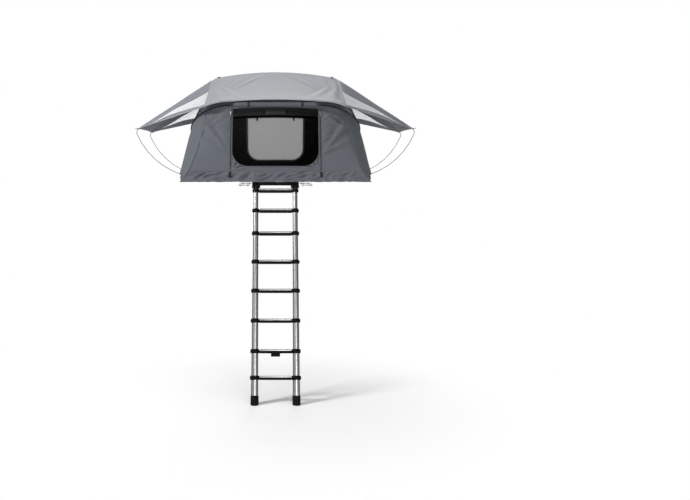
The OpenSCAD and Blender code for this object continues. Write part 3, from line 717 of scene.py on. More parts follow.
@dataclass(frozen=True)
class TentShape:
    """The canopy's main lines, as functions of places on the cloth of the near half."""

    base_x: float = 0.890
    hinge_y: float = FOLD_Y
    near_y: float = -1.800
    axis_z: float = 0.190
    pivot_y: float = -0.655
    pivot_z: float = 0.164
    bow_angle: float = math.radians(33.5)
    hem_z: float = 0.030
    seam_z: float = 0.138
    flare: float = 0.052
    corner_round: float = 0.110
    side_slack: float = 0.008
    roof_inset: float = 0.004
    roof_over: float = 0.002
    roof_puff: float = 0.034
    roof_sag: float = 0.018
    front_low_x: float = 0.857
    front_top_x: float = 0.702
    roof_edge_x: float = 0.756
    ridge_edge_x: float = 0.729
    end_bow: Bow = Bow(0.844, 0.844, 1.075, 0.100, 0.400)
    ridge_bow: Bow = Bow(0.814, 0.769, 0.940, 0.100, 0.180)

    @property
    def hem_x(self) -> float:
        """Half width of the hem."""
        return self.base_x + self.flare

    @property
    def hem_y(self) -> float:
        """Place of the hem at the near end."""
        return self.near_y - 0.8 * self.flare

    @property
    def front_low_y(self) -> float:
        """Place of the skirt's seam at the near end."""
        return self.near_y - 0.012

    def end_at(self, x: float, r: float) -> Vector:
        """A point of the near bow's plane, at x from the middle and r from the pivot line."""
        y = self.pivot_y - r * math.cos(self.bow_angle)
        return Vector((x, y, self.pivot_z + r * math.sin(self.bow_angle)))

    def on_end_bow(self, x: float) -> Vector:
        """Where the cloth passes over the near bow, at x from the middle."""
        return self.end_at(x, self.end_bow.over(x))

    def on_ridge(self, x: float) -> Vector:
        """Where the cloth passes over the ridge bow, at x from the middle."""
        return Vector((x, self.hinge_y, self.axis_z + self.ridge_bow.over(x)))

    def front_seam_x(self, w: float) -> float:
        """Half width of the end wall, with w from 0 at the skirt's seam to 1 at the bow."""
        return self.front_top_x + (self.front_low_x - self.front_top_x) * (1 - w) ** 1.6

    def end_wall(self, u: float, w: float, edge_x: float) -> Vector:
        """A point on the near end wall.

        Args:
            u: From -1 to 1 across, with the opening's edges at plus and minus one half.
            w: Height, from -1 at the hem through 0 at the skirt's seam to 1 at the bow.
            edge_x: Half width of the opening.

        Returns:
            The point.
        """
        def across(height: float) -> float:
            """Distance from the middle at a height."""
            if abs(u) <= 0.5:
                return 2 * u * edge_x
            outer = mix(self.front_low_x, self.hem_x, -height) if height < 0 else self.front_seam_x(height)
            return math.copysign(mix(edge_x, outer, 2 * abs(u) - 1), u)
        x = across(w)
        if w < 0:
            return Vector((x, mix(self.front_low_y, self.hem_y, -w), mix(self.seam_z, self.hem_z, -w)))
        top = self.on_end_bow(across(1.0))
        return Vector((x, mix(self.front_low_y, top.y, w), mix(self.seam_z, top.z, w)))

    def bow_line(self, w: float) -> Vector:
        """A point on the right wall's line over the near bow.

        Args:
            w: Height from -1 to 1.

        Returns:
            The point.
        """
        slack = self.base_x + self.side_slack - self.end_bow.beside(0)
        share = max(0.0, w)
        z = mix(self.seam_z, self.on_end_bow(self.roof_edge_x).z, share)
        r = max(0.0, (z - self.pivot_z) / math.sin(self.bow_angle))
        x = self.end_bow.beside(r) + slack * (1 - share ** 3)
        return self.skirt(Vector((x, self.end_at(0, r).y, z)), w)

    def ridge_line(self, w: float) -> Vector:
        """A point on the right wall's line at the ridge.

        Args:
            w: Height from -1 to 1.

        Returns:
            The point.
        """
        share = max(0.0, w)
        z = mix(self.seam_z, self.on_ridge(self.ridge_edge_x).z, share)
        pulled = mix(self.base_x + self.side_slack, self.ridge_edge_x, smooth(share))
        x = max(self.ridge_bow.beside(max(0.0, z - self.axis_z)), pulled)
        return self.skirt(Vector((x, self.hinge_y, z)), w)

    def front_line(self, w: float) -> Vector:
        """A point on the seam between the end wall and the right wall.

        Args:
            w: Height from -1 to 1.

        Returns:
            The point.
        """
        share = max(0.0, w)
        top = self.on_end_bow(self.front_top_x)
        y = mix(self.front_low_y, top.y, share)
        p = Vector((self.front_seam_x(share), y, mix(self.seam_z, top.z, share)))
        return self.skirt(p, w, self.hem_y)

    def skirt(self, p: Vector, w: float, y: float | None = None) -> Vector:
        """Carry a point of the skirt's seam down towards the hem.

        Args:
            p: Point at the seam or above it.
            w: Height; below 0 it is in the skirt.
            y: Place of the hem, if it isn't straight below.

        Returns:
            The point.
        """
        if w >= 0:
            return p
        hem = Vector((self.hem_x, p.y if y is None else y, self.hem_z))
        return mix(Vector((p.x, p.y, self.seam_z)), hem, -w)

    def side_wall(self, s: float, w: float) -> Vector:
        """A point on the near half's right wall.

        Args:
            s: 0 at the front seam, 1 at the bow and 3 at the ridge.
            w: Height from -1 to 1.

        Returns:
            The point.
        """
        if s > 1:
            return mix(self.bow_line(w), self.ridge_line(w), (s - 1) / 2)
        full = 1 + w if w < 0 else 1 - w ** 3
        flat = mix(self.front_line(w), self.bow_line(w), s ** 1.6)
        return flat + Vector((self.corner_round * full * math.sin(math.pi * s), 0, 0))

    def roof(self, u: float, v: float) -> Vector:
        """A point on the near half's roof.

        Args:
            u: From -1 to 1 across.
            v: 0 at the near bow and 1 at the ridge.

        Returns:
            The point.
        """
        low = self.on_end_bow(u * (self.roof_edge_x - self.roof_inset))
        low += Vector((0, self.roof_inset, self.roof_over))
        high = self.on_ridge(u * (self.ridge_edge_x - self.roof_inset))
        puff = self.roof_puff * min(1.0, v / 0.03) * math.exp(-(v / 0.25) ** 2) * (1 - u ** 18)
        return mix(low, high, v) + Vector((0, 0, puff - self.roof_sag * 4 * v * (1 - v) * (1 - u * u)))


SHAPE = TentShape()


@dataclass(frozen=True)
class Opening:
    """An opening in an end wall with round lower corners."""

    half_width: float
    sill_z: float
    corner: float
    top: float = 0.95

    def wall_point(self, x: float, z: float) -> Vector:
        """A point of the end wall's flat middle.

        Args:
            x: Distance from the middle.
            z: Height.

        Returns:
            The point.
        """
        high = SHAPE.on_end_bow(x)
        share = (z - SHAPE.seam_z) / (high.z - SHAPE.seam_z)
        return Vector((x, mix(SHAPE.front_low_y, high.y, share), z))

    def top_z(self, x: float) -> float:
        """Height of the opening's upper edge, at x from the middle."""
        return mix(SHAPE.seam_z, SHAPE.on_end_bow(x).z, self.top)

    def contains(self, p: Vector) -> bool:
        """Whether a point of the wall lies in the opening.

        Args:
            p: Point on the wall.

        Returns:
            True inside the outline.
        """
        a = abs(p.x) - (self.half_width - self.corner)
        b = self.sill_z + self.corner - p.z
        if abs(p.x) > self.half_width or p.z < self.sill_z or p.z > self.top_z(p.x):
            return False
        return a < 0 or b < 0 or math.hypot(a, b) < self.corner

    def snap(self, p: Vector) -> Vector:
        """Move a point near the outline onto it.

        Args:
            p: Point on the edge of the cut cloth.

        Returns:
            The point on the outline, or the same point if it is far away.
        """
        reach = 0.03
        a = abs(p.x) - (self.half_width - self.corner)
        b = self.sill_z + self.corner - p.z
        if a > 0 and b > 0:
            gap = math.hypot(a, b)
            if abs(gap - self.corner) < reach:
                scale = self.corner / gap
                x = self.half_width - self.corner + a * scale
                return self.wall_point(math.copysign(x, p.x), self.sill_z + self.corner - b * scale)
        elif a <= 0 and abs(p.z - self.sill_z) < reach:
            return self.wall_point(p.x, self.sill_z)
        elif b <= 0 and abs(abs(p.x) - self.half_width) < reach and p.z < self.top_z(p.x) + reach:
            return self.wall_point(math.copysign(self.half_width, p.x), p.z)
        return p

    def outline(self, steps: int = 16) -> list[Vector]:
        """Points down one side, round the bottom and up the other side.

        Args:
            steps: Steps in each corner and each straight run.

        Returns:
            The points.
        """
        flat = self.half_width - self.corner
        low = self.sill_z + self.corner
        right = [(self.half_width, z) for z in spread(self.top_z(self.half_width), low, steps)]
        for t in spread(0, math.pi / 2, steps)[1:]:
            right.append((flat + self.corner * math.cos(t), low - self.corner * math.sin(t)))
        middle = [(x, self.sill_z) for x in spread(flat, 0, steps)[1:]]
        whole = right + middle + [(-x, z) for x, z in reversed(right + middle[:-1])]
        return [self.wall_point(x, z) for x, z in whole]


DOOR = Opening(half_width=0.435, sill_z=0.182, corner=0.160)
WINDOW = Opening(half_width=0.350, sill_z=0.252, corner=0.140)


def cloth_ripple(p: Vector) -> float:
    """Loose folds of the skirt and faint unevenness of the walls.

    Args:
        p: Point on the near half's right or left cloth.

    Returns:
        Height of the cloth above its drawn surface.
    """
    uneven = 0.0022 * noise.noise(Vector((p.x * 5.0, p.y * 5.0, p.z * 4.0)))
    slack = max(0.0, (SHAPE.seam_z - p.z) / (SHAPE.seam_z - SHAPE.hem_z))
    corner = math.hypot(abs(p.x) - SHAPE.front_low_x - SHAPE.flare * slack, p.y - SHAPE.front_low_y)
    calm_corner = 0.12
    free = min(1.0, corner / calm_corner)
    drape = noise.noise(Vector((p.x * 7.0 + p.z * 9.0, p.y * 7.0, p.z * 5.0)))
    fold = noise.noise(Vector((p.x * 11.0 - p.z * 12.0, p.y * 11.0 + p.z * 12.0, p.z * 6.0 + 4.0)))
    full = min(1.0, 3.0 * slack) * (1 - 0.6 * slack)
    drape_height, fold_height = 0.018, 0.034
    loose = slack ** 0.7 * drape_height * (drape + 0.25) + full * fold_height * (0.55 - abs(fold) * 2)
    return uneven + free * loose


@dataclass
class Canopy:
    """Walls and roof of both halves, with their bindings."""

    palette: Palette
    across: int = 220
    up: int = 120
    zip_gap: float = 0.025
    toggle_x: float = 0.23
    pocket_half: float = 0.125
    pocket_tape: float = 0.030
    pocket_from: float = 0.0
    pocket_to: float = 0.07
    piping_r: float = 0.006
    edge_binding_r: float = 0.005
    corner_binding_r: float = 0.002
    skirt_binding_r: float = 0.0014

    def build(self) -> None:
        """Make every panel of the canopy."""
        for half in Half:
            self.end_wall(half)
            self.roof(half)
            for side in Side:
                self.side_wall(half, side)
            self.trim(half)
        self.window()

    def sheet(self, name: str, rows: Rows, half: Half, nodes: tuple[str, ...], lining: str = "coated_shaded_canopy_lining",
              **settings: object) -> None:
        """Make one panel in the canopy's own cloth.

        Args:
            name: The piece's name.
            rows: Grid of points on the near right quarter.
            half: Half that it belongs to.
            nodes: Nodes that it stands for.
            lining: Finish of its back.
            settings: Other fields of the sheet.
        """
        bow = "near_bow" if half is Half.NEAR else "far_bow"
        # The walls' dark backs are partly coating, partly painted shade of the unlit inside
        cloth, back = self.palette.pick("canopy_cloth", lining)
        Sheet(name, rows, half, nodes, cloth, back, "canopy_fabric", rests_on=(bow, "ridge_bow"),
              ripple=cloth_ripple, **settings).build()

    def heights(self) -> list[float]:
        """Heights of a wall's rows: -1 at the hem, 0 at the skirt's seam and 1 at the top."""
        return spread(-1, 0, self.up // 4) + spread(0, 1, self.up)[1:]

    def end_wall(self, half: Half) -> None:
        """Make the front or the rear wall.

        Args:
            half: NEAR for the front wall.
        """
        opening = DOOR if half is Half.NEAR else WINDOW
        rows = [[SHAPE.end_wall(u, w, opening.half_width) for u in spread(-1, 1, self.across)]
                for w in self.heights()]
        creases = []
        edge = opening.half_width + self.zip_gap
        for s in (side.value for side in Side):
            def point(x: float, z: float) -> Vector:
                """A point of the wall on this side."""
                return opening.wall_point(s * x, z)
            creases += fan(point(edge, 0.30), point(0.66, 0.72), point(0.82, 0.34), 5, 0.030, 0.024)
            creases += fan(point(edge, 0.74), point(0.64, 0.75), point(0.72, 0.52), 4, 0.026, 0.022)
            below = point(opening.half_width, 0.150)
            creases += fan(below, point(0.43, 0.33), point(0.22, 0.165), 6, 0.010, 0.011)
            for i, z in enumerate(spread(0.30, 0.64, 8)):
                vary = noise.noise(Vector((i * 1.7 + 0.3, s * 0.8, 0)))
                end = point(edge + 0.10 + 0.08 * vary, z + 0.06 + 0.06 * vary)
                creases.append(Crease(point(edge + 0.004, z + 0.04 * vary), end, 0.014, 0.006 + 0.014 * vary))
        node = "front_wall" if half is Half.NEAR else "rear_wall"
        self.sheet(f"{node}_cloth", rows, half, (node,), creases=creases, open_cells=opening.contains,
                   edge_snap=opening.snap)

    def side_wall(self, half: Half, side: Side) -> None:
        """Make one wall beside the bed.

        Args:
            half: Half of the tent.
            side: Left or right.
        """
        places = spread(0, 1, self.across // 6) + spread(1, 3, self.across // 3)[1:]
        at = SHAPE.side_wall
        rows = [[at(s, w) for s in places] for w in self.heights()]
        creases = fan(at(1, 0.9), at(1.2, 0.1), at(2.8, 0.15), 6, 0.03, 0.008)
        creases += fan(at(3, 0.95), at(1.6, 0.2), at(2.9, 0.1), 4, 0.03, 0.007)
        creases += fan(at(0.9, 0.7), at(0.1, 0.6), at(0.1, 0.1), 4, 0.02, 0.005)
        name = f"{half.value}_side_{side.word}"
        self.sheet(f"{name}_cloth", rows, half, (name,), side=side, creases=creases)

    def roof(self, half: Half) -> None:
        """Make one half of the roof, which laps over the top edges of the walls.

        Args:
            half: Half of the tent.
        """
        depths = spread(0, 0.04, 6) + spread(0.04, 1, 40)[1:]
        places = spread(-1, 1, 80)

        def row(v: float) -> list[Vector]:
            """Points across the roof, with a lap over the wall at each end."""
            on_wall = SHAPE.side_wall(1 + 2 * v, 0.970) + Vector((SHAPE.roof_inset, 0, SHAPE.roof_over))
            left = Vector((-on_wall.x, on_wall.y, on_wall.z))
            return [left] + [SHAPE.roof(u, v) for u in places] + [on_wall]

        lap = [[p + Vector((0, -0.0065, z)) for p in row(0)] for z in (-0.014, -0.002)]
        rows = lap + [row(v) for v in depths]

        def patch_of(i: int, j: int) -> int:
            """Pair of materials of a cell of the grid."""
            away = abs(rows[i][j].x + rows[i][j + 1].x) / 2 - self.pocket_half
            deep = depths[max(i - len(lap), 0)]
            if half is Half.NEAR or away > self.pocket_tape or not self.pocket_from < deep < self.pocket_to:
                return 0
            return 1 if away < 0 else 2

        cloth, pocket, tape = self.palette.pick("canopy_cloth", "pocket_lining", "coated_shaded_canopy_lining")
        self.sheet(f"{half.value}_roof_cloth", rows, half, (f"{half.value}_roof",), "roof_lining",
                   patches=((cloth, pocket), (cloth, tape)), patch_of=patch_of, inside=FAR_BELOW)

    def window(self) -> None:
        """Make the net behind the rear wall's opening and its two black toggles."""
        margin = 0.015
        xs = spread(-WINDOW.half_width - margin, WINDOW.half_width + margin, 60)
        behind = Vector((0, 0.006, 0))
        seat = Opening(WINDOW.half_width + margin, WINDOW.sill_z - margin, WINDOW.corner + margin)
        grid = [[WINDOW.wall_point(x, mix(seat.sill_z, WINDOW.top_z(x) + margin, v)) + behind for x in xs]
                for v in spread(0, 1, 40)]
        net = self.palette.get("window_net")
        Sheet("rear_window_net", grid, Half.FAR, ("rear_window_mesh",), net, net, "window_mesh",
              open_cells=lambda p: p.z < seat.sill_z + seat.corner and not seat.contains(p - behind),
              edge_snap=lambda p: seat.snap(p - behind) + behind, rests_on=("far_bow",)).build()
        bm = bmesh.new()
        toggle_half = Vector((0.010, 0.005, 0.02))
        for x in (-self.toggle_x, self.toggle_x):
            at = WINDOW.wall_point(x, WINDOW.top_z(x) - 0.014) + Vector((0, 0.02, 0))
            add_box(bm, at - toggle_half, at + toggle_half, 0.003)
        bm.transform(mirrored(Half.FAR))
        bmesh.ops.reverse_faces(bm, faces=bm.faces)
        soft_piece("window_toggles", bm, self.palette.pick("black_tape"), "zip_tape", Half.FAR.body)

    def trim(self, half: Half) -> None:
        """Make the piping over the bow and the bindings of the opening and the seams.

        Args:
            half: Half of the tent.
        """
        bm = bmesh.new()
        opening = DOOR if half is Half.NEAR else WINDOW
        out = Vector((0, -0.002, 0))
        add_tube(bm, [p + out for p in opening.outline()], self.edge_binding_r, slot=1)
        for side in Side:
            flip = Matrix.Diagonal((side.value, 1, 1, 1))
            beside, above = Vector((0.003, -0.001, 0.003)), Vector((0, -0.003, 0.003))
            over = [SHAPE.bow_line(w) + beside for w in spread(0.42, 1, 40)]
            over += [SHAPE.on_end_bow(x) + above for x in spread(SHAPE.roof_edge_x, 0.46, 24)[1:]]
            add_tube(bm, [flip @ p for p in over], self.piping_r)
            corner = [SHAPE.front_line(w) + Vector((0.001, -0.001, 0)) for w in spread(-1, 1, 40)]
            add_tube(bm, [flip @ p for p in corner], self.corner_binding_r, slot=1)
        seam = [SHAPE.end_wall(u, 0, opening.half_width) + Vector((0, -0.001, 0)) for u in spread(-1, 1, 60)]
        add_tube(bm, seam, self.skirt_binding_r, slot=1)
        bm.transform(mirrored(half))
        bmesh.ops.recalc_face_normals(bm, faces=bm.faces)
        materials = self.palette.pick("black_tape", "seam_binding")
        soft_piece(f"{half.value}_trim", bm, materials, "zip_tape", half.body)


@dataclass
class RainFly:
    """The fly's two halves, each a top panel with an awning wing on each side."""

    palette: Palette
    top_x: float = 0.702
    reach: float = 1.480
    tip_out: float = 0.480
    tip_end: float = 0.040
    tip_z: float = 0.586
    gap: float = 0.016
    over: float = 0.046
    hem_out: float = 0.024
    crease_start: float = 0.040
    crease_middle: float = 0.42
    sag: float = 0.016
    wing_from: float = 0.03
    gusset_from: float = 0.40
    gusset_to: float = 0.97
    gusset_point: float = 0.50
    gusset_end: float = 0.82
    counts: tuple[int, int, int, int] = (26, 10, 16, 4)

    def wing(self, x: float) -> float:
        """Share of the way along an awning: 0 on the top panel and 1 at the tips."""
        return max(0.0, (abs(x) - self.top_x) / (self.reach - self.top_x))

    def crease_y(self, x: float) -> float:
        """Place of the crease between the main panel and the gusset.

        Args:
            x: Distance from the middle.

        Returns:
            The place along Y.
        """
        w = self.wing(x)
        if w > 0:
            return SHAPE.hinge_y - mix(self.crease_start, self.tip_out, w)
        return SHAPE.hinge_y - mix(self.crease_middle, self.crease_start, (x / self.top_x) ** 2)

    def edge_y(self, x: float) -> float:
        """Place of the hem along Y, at x from the middle."""
        hem_y = SHAPE.on_end_bow(0).y - self.hem_out
        return mix(hem_y, SHAPE.hinge_y - self.tip_out - self.tip_end, self.wing(x))

    def point(self, x: float, y: float) -> Vector:
        """A point of the fly.

        Args:
            x: Distance from the middle.
            y: Place along Y.

        Returns:
            The point.
        """
        w = self.wing(x)
        inner = min(abs(x), self.top_x)
        line_z = mix(SHAPE.on_ridge(inner).z + self.gap, self.tip_z, w)
        edge_z = mix(SHAPE.on_end_bow(inner).z + self.over, self.tip_z, w)
        start = self.crease_y(x) if w > 0 else SHAPE.hinge_y
        g = max(0.0, (start - y) / (start - self.edge_y(x)))
        return Vector((x, y, mix(line_z, edge_z, g) - self.sag * 4 * g * (1 - g)))

    def places(self, x: float) -> list[float]:
        """Places of the rows along Y at one distance from the middle.

        Args:
            x: Distance from the middle.

        Returns:
            Places from the ridge to the hem.
        """
        crease, edge = self.crease_y(x), self.edge_y(x)
        share = min(1.0, self.wing(x) / self.gusset_end)
        first = mix(crease, edge, mix(self.gusset_from, self.gusset_point, share))
        last = mix(crease, edge, mix(self.gusset_to, self.gusset_point + 0.02, share))
        stops = (SHAPE.hinge_y, crease, first, last, edge)
        made = [stops[0]]
        for a, b, n in zip(stops, stops[1:], self.counts):
            made += spread(a, b, n)[1:]
        return made

    def columns(self) -> list[float]:
        """Distances of the grid's columns from the middle, from left to right."""
        wing = spread(self.top_x, self.reach, 36)
        return [-x for x in reversed(wing[1:])] + spread(-self.top_x, self.top_x, 70) + wing[1:]

    def build(self) -> None:
        """Make both halves with their hem bindings, ridge toggles and corner straps."""
        xs = self.columns()
        lanes = [self.places(x) for x in xs]
        rows = [[self.point(x, lane[i]) for x, lane in zip(xs, lanes)] for i in range(len(lanes[0]))]
        start = self.counts[0] + self.counts[1]
        stop = start + self.counts[2]

        # The fly's back is painted darker as shade for its underside
        finishes = ("fly_cloth", "shaded_fly_lining", "gusset_cloth", "wing_cloth")
        cloth, lining, gusset, shaded_wing = self.palette.pick(*finishes)

        def patch_of(i: int, j: int) -> int:
            """Pair of materials of a cell of the grid."""
            w = self.wing((xs[j] + xs[j + 1]) / 2)
            if w < self.wing_from or i < self.counts[0]:
                return 0
            # Wing cells outside the gussets take the darker cloth of painted shade
            return 1 if start <= i < stop and w < self.gusset_end else 2

        for half in Half:
            Sheet(f"{half.value}_fly_cloth", rows, half, (f"{half.value}_fly",), cloth, lining, "fly_fabric",
                  creases=self.creases(), ripple=self.ripple, slack=self.slack,
                  patches=((gusset, gusset), (shaded_wing, lining)), patch_of=patch_of, inside=FAR_BELOW,
                  rests_on=("near_awning_rods", "far_awning_rods")).build()
            self.trim(half, xs)

    def creases(self) -> list[Crease]:
        """Pull lines from the shoulders of the top panel.

        Returns:
            The creases on both sides.
        """
        made = []
        for side in Side:
            s = side.value
            def on_fly(x: float, y: float) -> Vector:
                """A point of the fly on this side."""
                return self.point(s * x, y)
            made += fan(on_fly(0.66, -1.45), on_fly(0.05, -0.75), on_fly(0.60, -0.62), 7, 0.030, 0.008)
            made += fan(on_fly(0.70, -0.70), on_fly(0.20, -1.60), on_fly(0.72, -1.58), 5, 0.030, 0.007)
            made += fan(on_fly(1.40, -1.08), on_fly(0.72, -1.30), on_fly(0.72, -0.66), 6, 0.030, 0.010)
            hem_y = self.edge_y(0)
            for i, x in enumerate(spread(0.36, 0.70, 9)):
                rise = 0.13 + 0.06 * noise.noise(Vector((i * 2.3, s, 5.0)))
                made.append(Crease(on_fly(x, hem_y - 0.03), on_fly(x + 0.05, hem_y + rise), 0.013, 0.009))
        return made

    def slack(self, p: Vector) -> float:
        """Share of the folds that is left: 0 at the ridge, where the fly is tight, and 1 lower."""
        return smooth(min(1.0, (SHAPE.hinge_y - p.y) / 0.12))

    def ripple(self, p: Vector) -> float:
        """Height of the fly's faint unevenness at a point."""
        return 0.003 * noise.noise(Vector((p.x * 4.0, p.y * 4.0, 7.0)))

    def trim(self, half: Half, xs: list[float]) -> None:
        """Make one half's hem binding, ridge toggles and corner straps.

        Args:
            half: Half of the tent.
            xs: Distances from the middle along the hem.
        """
        bm = bmesh.new()
        add_tube(bm, [self.point(x, self.edge_y(x)) - Vector((0, 0, 0.003)) for x in xs], 0.004, slot=1)
        toggle_x, strap_x = 0.64, 0.73
        toggle_low, toggle_high = Vector((0.012, 0.012, 0.004)), Vector((0.012, 0.012, 0.010))
        for side in Side:
            s = side.value
            top = self.point(s * toggle_x, SHAPE.hinge_y - 0.02)
            add_box(bm, top - toggle_low, top + toggle_high, 0.004)
            high = self.point(s * strap_x, self.edge_y(strap_x) + 0.03)
            low = SHAPE.bow_line(0.86) + Vector((0.008, -0.006, 0.0))
            low.x *= s
            add_tube(bm, [mix(high, low, t) for t in spread(0, 1, 6)], 0.005)
        bm.transform(mirrored(half))
        bmesh.ops.recalc_face_normals(bm, faces=bm.faces)
        materials = self.palette.pick("black_tape", "fly_cloth")
        soft_piece(f"{half.value}_fly_trim", bm, materials, "zip_tape", half.body)


# Rods, door fittings and bedding


def rounded_path(points: Sequence[Vector], radii: Sequence[float], step: float = 0.15) -> list[Vector]:
    """Points along a path with round bends.

    Args:
        points: Corners of the path.
        radii: Bend radius at each corner.
        step: Angle of one step round a bend, in radians.

    Returns:
        Points close enough together for a smooth tube.
    """
    made = [points[0]]
    for before, corner, after, radius in zip(points, points[1:], points[2:], radii[1:]):
        into = (corner - before).normalized()
        out = (after - corner).normalized()
        turn = into.angle(out)
        cut = radius * math.tan(turn / 2)
        centre = corner + (out - into).normalized() * radius / math.cos(turn / 2)
        start, end = corner - into * cut - centre, corner + out * cut - centre
        count = max(3, math.ceil(turn / step))
        arc = [start.slerp(end, t) for t in spread(0, 1, count)]
        made += [centre + spoke * radius / spoke.length for spoke in arc]
    return made + [points[-1]]


@dataclass
class AwningRods:
    """Four spring-steel rods between the base and the awning tips."""

    palette: Palette
    radius: float = 0.0036
    foot: tuple[float, float] = (0.894, 0.064)
    tip: tuple[float, float] = (1.4814, 0.586)
    neck: tuple[float, float] = (0.012, -0.048)
    hook: tuple[float, float] = (0.029, 0.004)
    rise: float = math.radians(10)
    place_y: float = -1.080

    def path(self) -> list[Vector]:
        """Middle line of the near right rod.

        Returns:
            The points from foot to hook.
        """
        foot = Vector((self.foot[0], self.place_y, self.foot[1]))
        tip = Vector((self.tip[0], self.place_y, self.tip[1]))
        top = tip + Vector((self.neck[0], 0, self.neck[1]))
        chord = top - foot
        half_turn = math.atan2(chord.z, chord.x) - self.rise
        reach = chord.length / 2 / math.cos(half_turn)
        corner = foot + reach * Vector((math.cos(self.rise), 0, math.sin(self.rise)))
        bend = 0.97 * reach / math.tan(half_turn)
        return rounded_path([foot, corner, top, tip, tip + Vector((self.hook[0], 0, self.hook[1]))],
                            [0, bend, 6 * self.radius, 2.4 * self.radius, 0])

    def build(self) -> None:
        """Make the near and the far pair."""
        for half in Half:
            bm = bmesh.new()
            for side in Side:
                flip = Matrix.Diagonal((side.value, 1, 1, 1))
                add_tube(bm, [flip @ p for p in self.path()], self.radius, 12)
            bm.transform(mirrored(half))
            bmesh.ops.recalc_face_normals(bm, faces=bm.faces)
            soft_piece(f"{half.value}_rods", bm, self.palette.pick("spring_steel"), "spring_steel", half.body,
                       f"{half.value}_awning_rods")


@dataclass
class DoorFittings:
    """Zips with their sliders, the rolled-up door with its ties, and the hem tabs."""

    palette: Palette
    zip_x: float = 0.449
    zip_from: float = 0.012
    zip_to: float = 0.64
    slider_at: float = 0.599
    tape: float = 0.014
    tie_x: float = 0.27
    roll_half: float = 0.425
    roll_r: float = 0.019
    roll_high: float = 0.026

    def frame(self, x: float) -> Matrix:
        """Placement on the front wall's straight line: Z up the cloth and -Y away from it.

        Args:
            x: Distance from the middle of the line used.

        Returns:
            The placement.
        """
        rise = SHAPE.on_end_bow(x) - Vector((x, SHAPE.front_low_y, SHAPE.seam_z))
        lean = math.atan2(rise.y, rise.z)
        return Matrix.Translation((0, SHAPE.front_low_y, SHAPE.seam_z)) @ Matrix.Rotation(-lean, 4, "X")

    def build(self) -> None:
        """Make every fitting."""
        on_door = self.frame(DOOR.half_width)
        self.zips(on_door)
        for side in Side:
            self.slider(side, on_door)
        self.roll()
        self.tabs()

    def zips(self, on_door: Matrix) -> None:
        """Make both zip tapes with a raised coil.

        Args:
            on_door: Placement on the door's face.
        """
        bm = bmesh.new()
        for side in Side:
            x = side.value * self.zip_x
            low = Vector((x - self.tape / 2, -0.0024, self.zip_from))
            high = Vector((x + self.tape / 2, -0.0008, self.zip_to))
            add_box(bm, low, high, 0.0006, slot=1)
            heights = spread(0, self.zip_to - self.zip_from, 300)
            coil = [Vector((x + 0.0008 * (-1) ** i, -0.0032, self.zip_from + z))
                    for i, z in enumerate(heights)]
            add_tube(bm, coil, 0.0030, 6)
        bm.transform(on_door)
        materials = self.palette.pick("black_tape", "seam_binding")
        soft_piece("door_zip_tapes", bm, materials, "zip_tape", "folding_base", "door_zips")

    def slider(self, side: Side, on_door: Matrix) -> None:
        """Make one zip slider with its pull.

        Args:
            side: Left or right zip.
            on_door: Placement on the door's face.
        """
        bm = bmesh.new()
        at = Vector((side.value * self.zip_x, -0.0090, self.slider_at))
        add_box(bm, at + Vector((-0.006, -0.007, 0.002)), at + Vector((0.006, 0, 0.024)), 0.002)
        add_box(bm, at + Vector((-0.0035, -0.008, -0.026)), at + Vector((0.0035, -0.0055, 0.006)), 0.001)
        bm.transform(on_door)
        name = f"zip_slider_{side.word}"
        soft_piece(f"{name}_body", bm, self.palette.pick("nickel"), "nickel", name, name)

    def roll(self) -> None:
        """Make the rolled-up door, an uneven spiral of cloth, and its two ties."""
        bm = bmesh.new()
        turns = 3
        steps = 40
        core = self.roll_r - 0.0026
        slump_height, ply_height, ridge_height = 0.0018, 0.0016, 0.0007
        round_end = 0.43
        tall = self.roll_high / self.roll_r
        rings = []
        for x in spread(-self.roll_half, self.roll_half, 60):
            slump = slump_height * noise.noise(Vector((x * 9, 0, 0)))
            ring = []
            for i in range(steps):
                t = 2 * math.pi * i / steps
                ply = ply_height * (i / steps) + ridge_height * math.sin(turns * t)
                r = (core + ply + slump) * (1 - (abs(x) / round_end) ** 14) ** 0.5
                ring.append(bm.verts.new((x, r * math.cos(t), r * math.sin(t) * tall)))
            rings.append(ring)
        skin(bm, rings)
        bmesh.ops.recalc_face_normals(bm, faces=bm.faces)
        high = (SHAPE.on_end_bow(0) - Vector((0, SHAPE.front_low_y, SHAPE.seam_z))).length
        at = self.frame(0) @ Matrix.Translation((0, -self.roll_r - 0.0006, high - self.roll_r + 0.006))
        bm.transform(at)
        # The rolled door's darker cloth is painted shade under the fly's hem
        cloth, tape = self.palette.pick("shaded_rolled_door"), self.palette.pick("black_tape")
        soft_piece("door_roll_cloth", bm, cloth, "canopy_fabric", "folding_base", "door_roll")
        ties = bmesh.new()
        inner, outer, half = self.roll_r - 0.001, self.roll_r + 0.0012, 0.010
        for x in (-self.tie_x, self.tie_x):
            band = bmesh.new()
            add_ring(band, [(inner, -half), (outer, -half), (outer, half), (inner, half)])
            lying = Matrix.Diagonal((1, 1, tall, 1)) @ Matrix.Rotation(math.pi / 2, 4, "Y")
            band.transform(at @ Matrix.Translation((x, 0, 0)) @ lying)
            merge(ties, band)
        bmesh.ops.recalc_face_normals(ties, faces=ties.faces)
        soft_piece("door_roll_ties", ties, tape, "zip_tape", "folding_base")

    def tabs(self) -> None:
        """Make the two webbing tabs on the skirt."""
        bm = bmesh.new()
        share = 0.5 + 0.5 * (self.zip_x - DOOR.half_width) / (SHAPE.front_low_x - DOOR.half_width)
        for side in Side:
            for width, low, high in ((0.025, -0.56, -0.06), (0.042, -0.58, -0.50)):
                on_skirt = [SHAPE.end_wall(side.value * share, w, DOOR.half_width)
                            for w in spread(low, high, 10)]
                face = [p - Vector((0, cloth_ripple(p) + 0.001, 0)) for p in on_skirt]
                add_ribbon(bm, face, width, 0.003)
        bmesh.ops.recalc_face_normals(bm, faces=bm.faces)
        tape = self.palette.pick("black_tape")
        soft_piece("hem_webbing", bm, tape, "zip_tape", "folding_base", "hem_tabs")


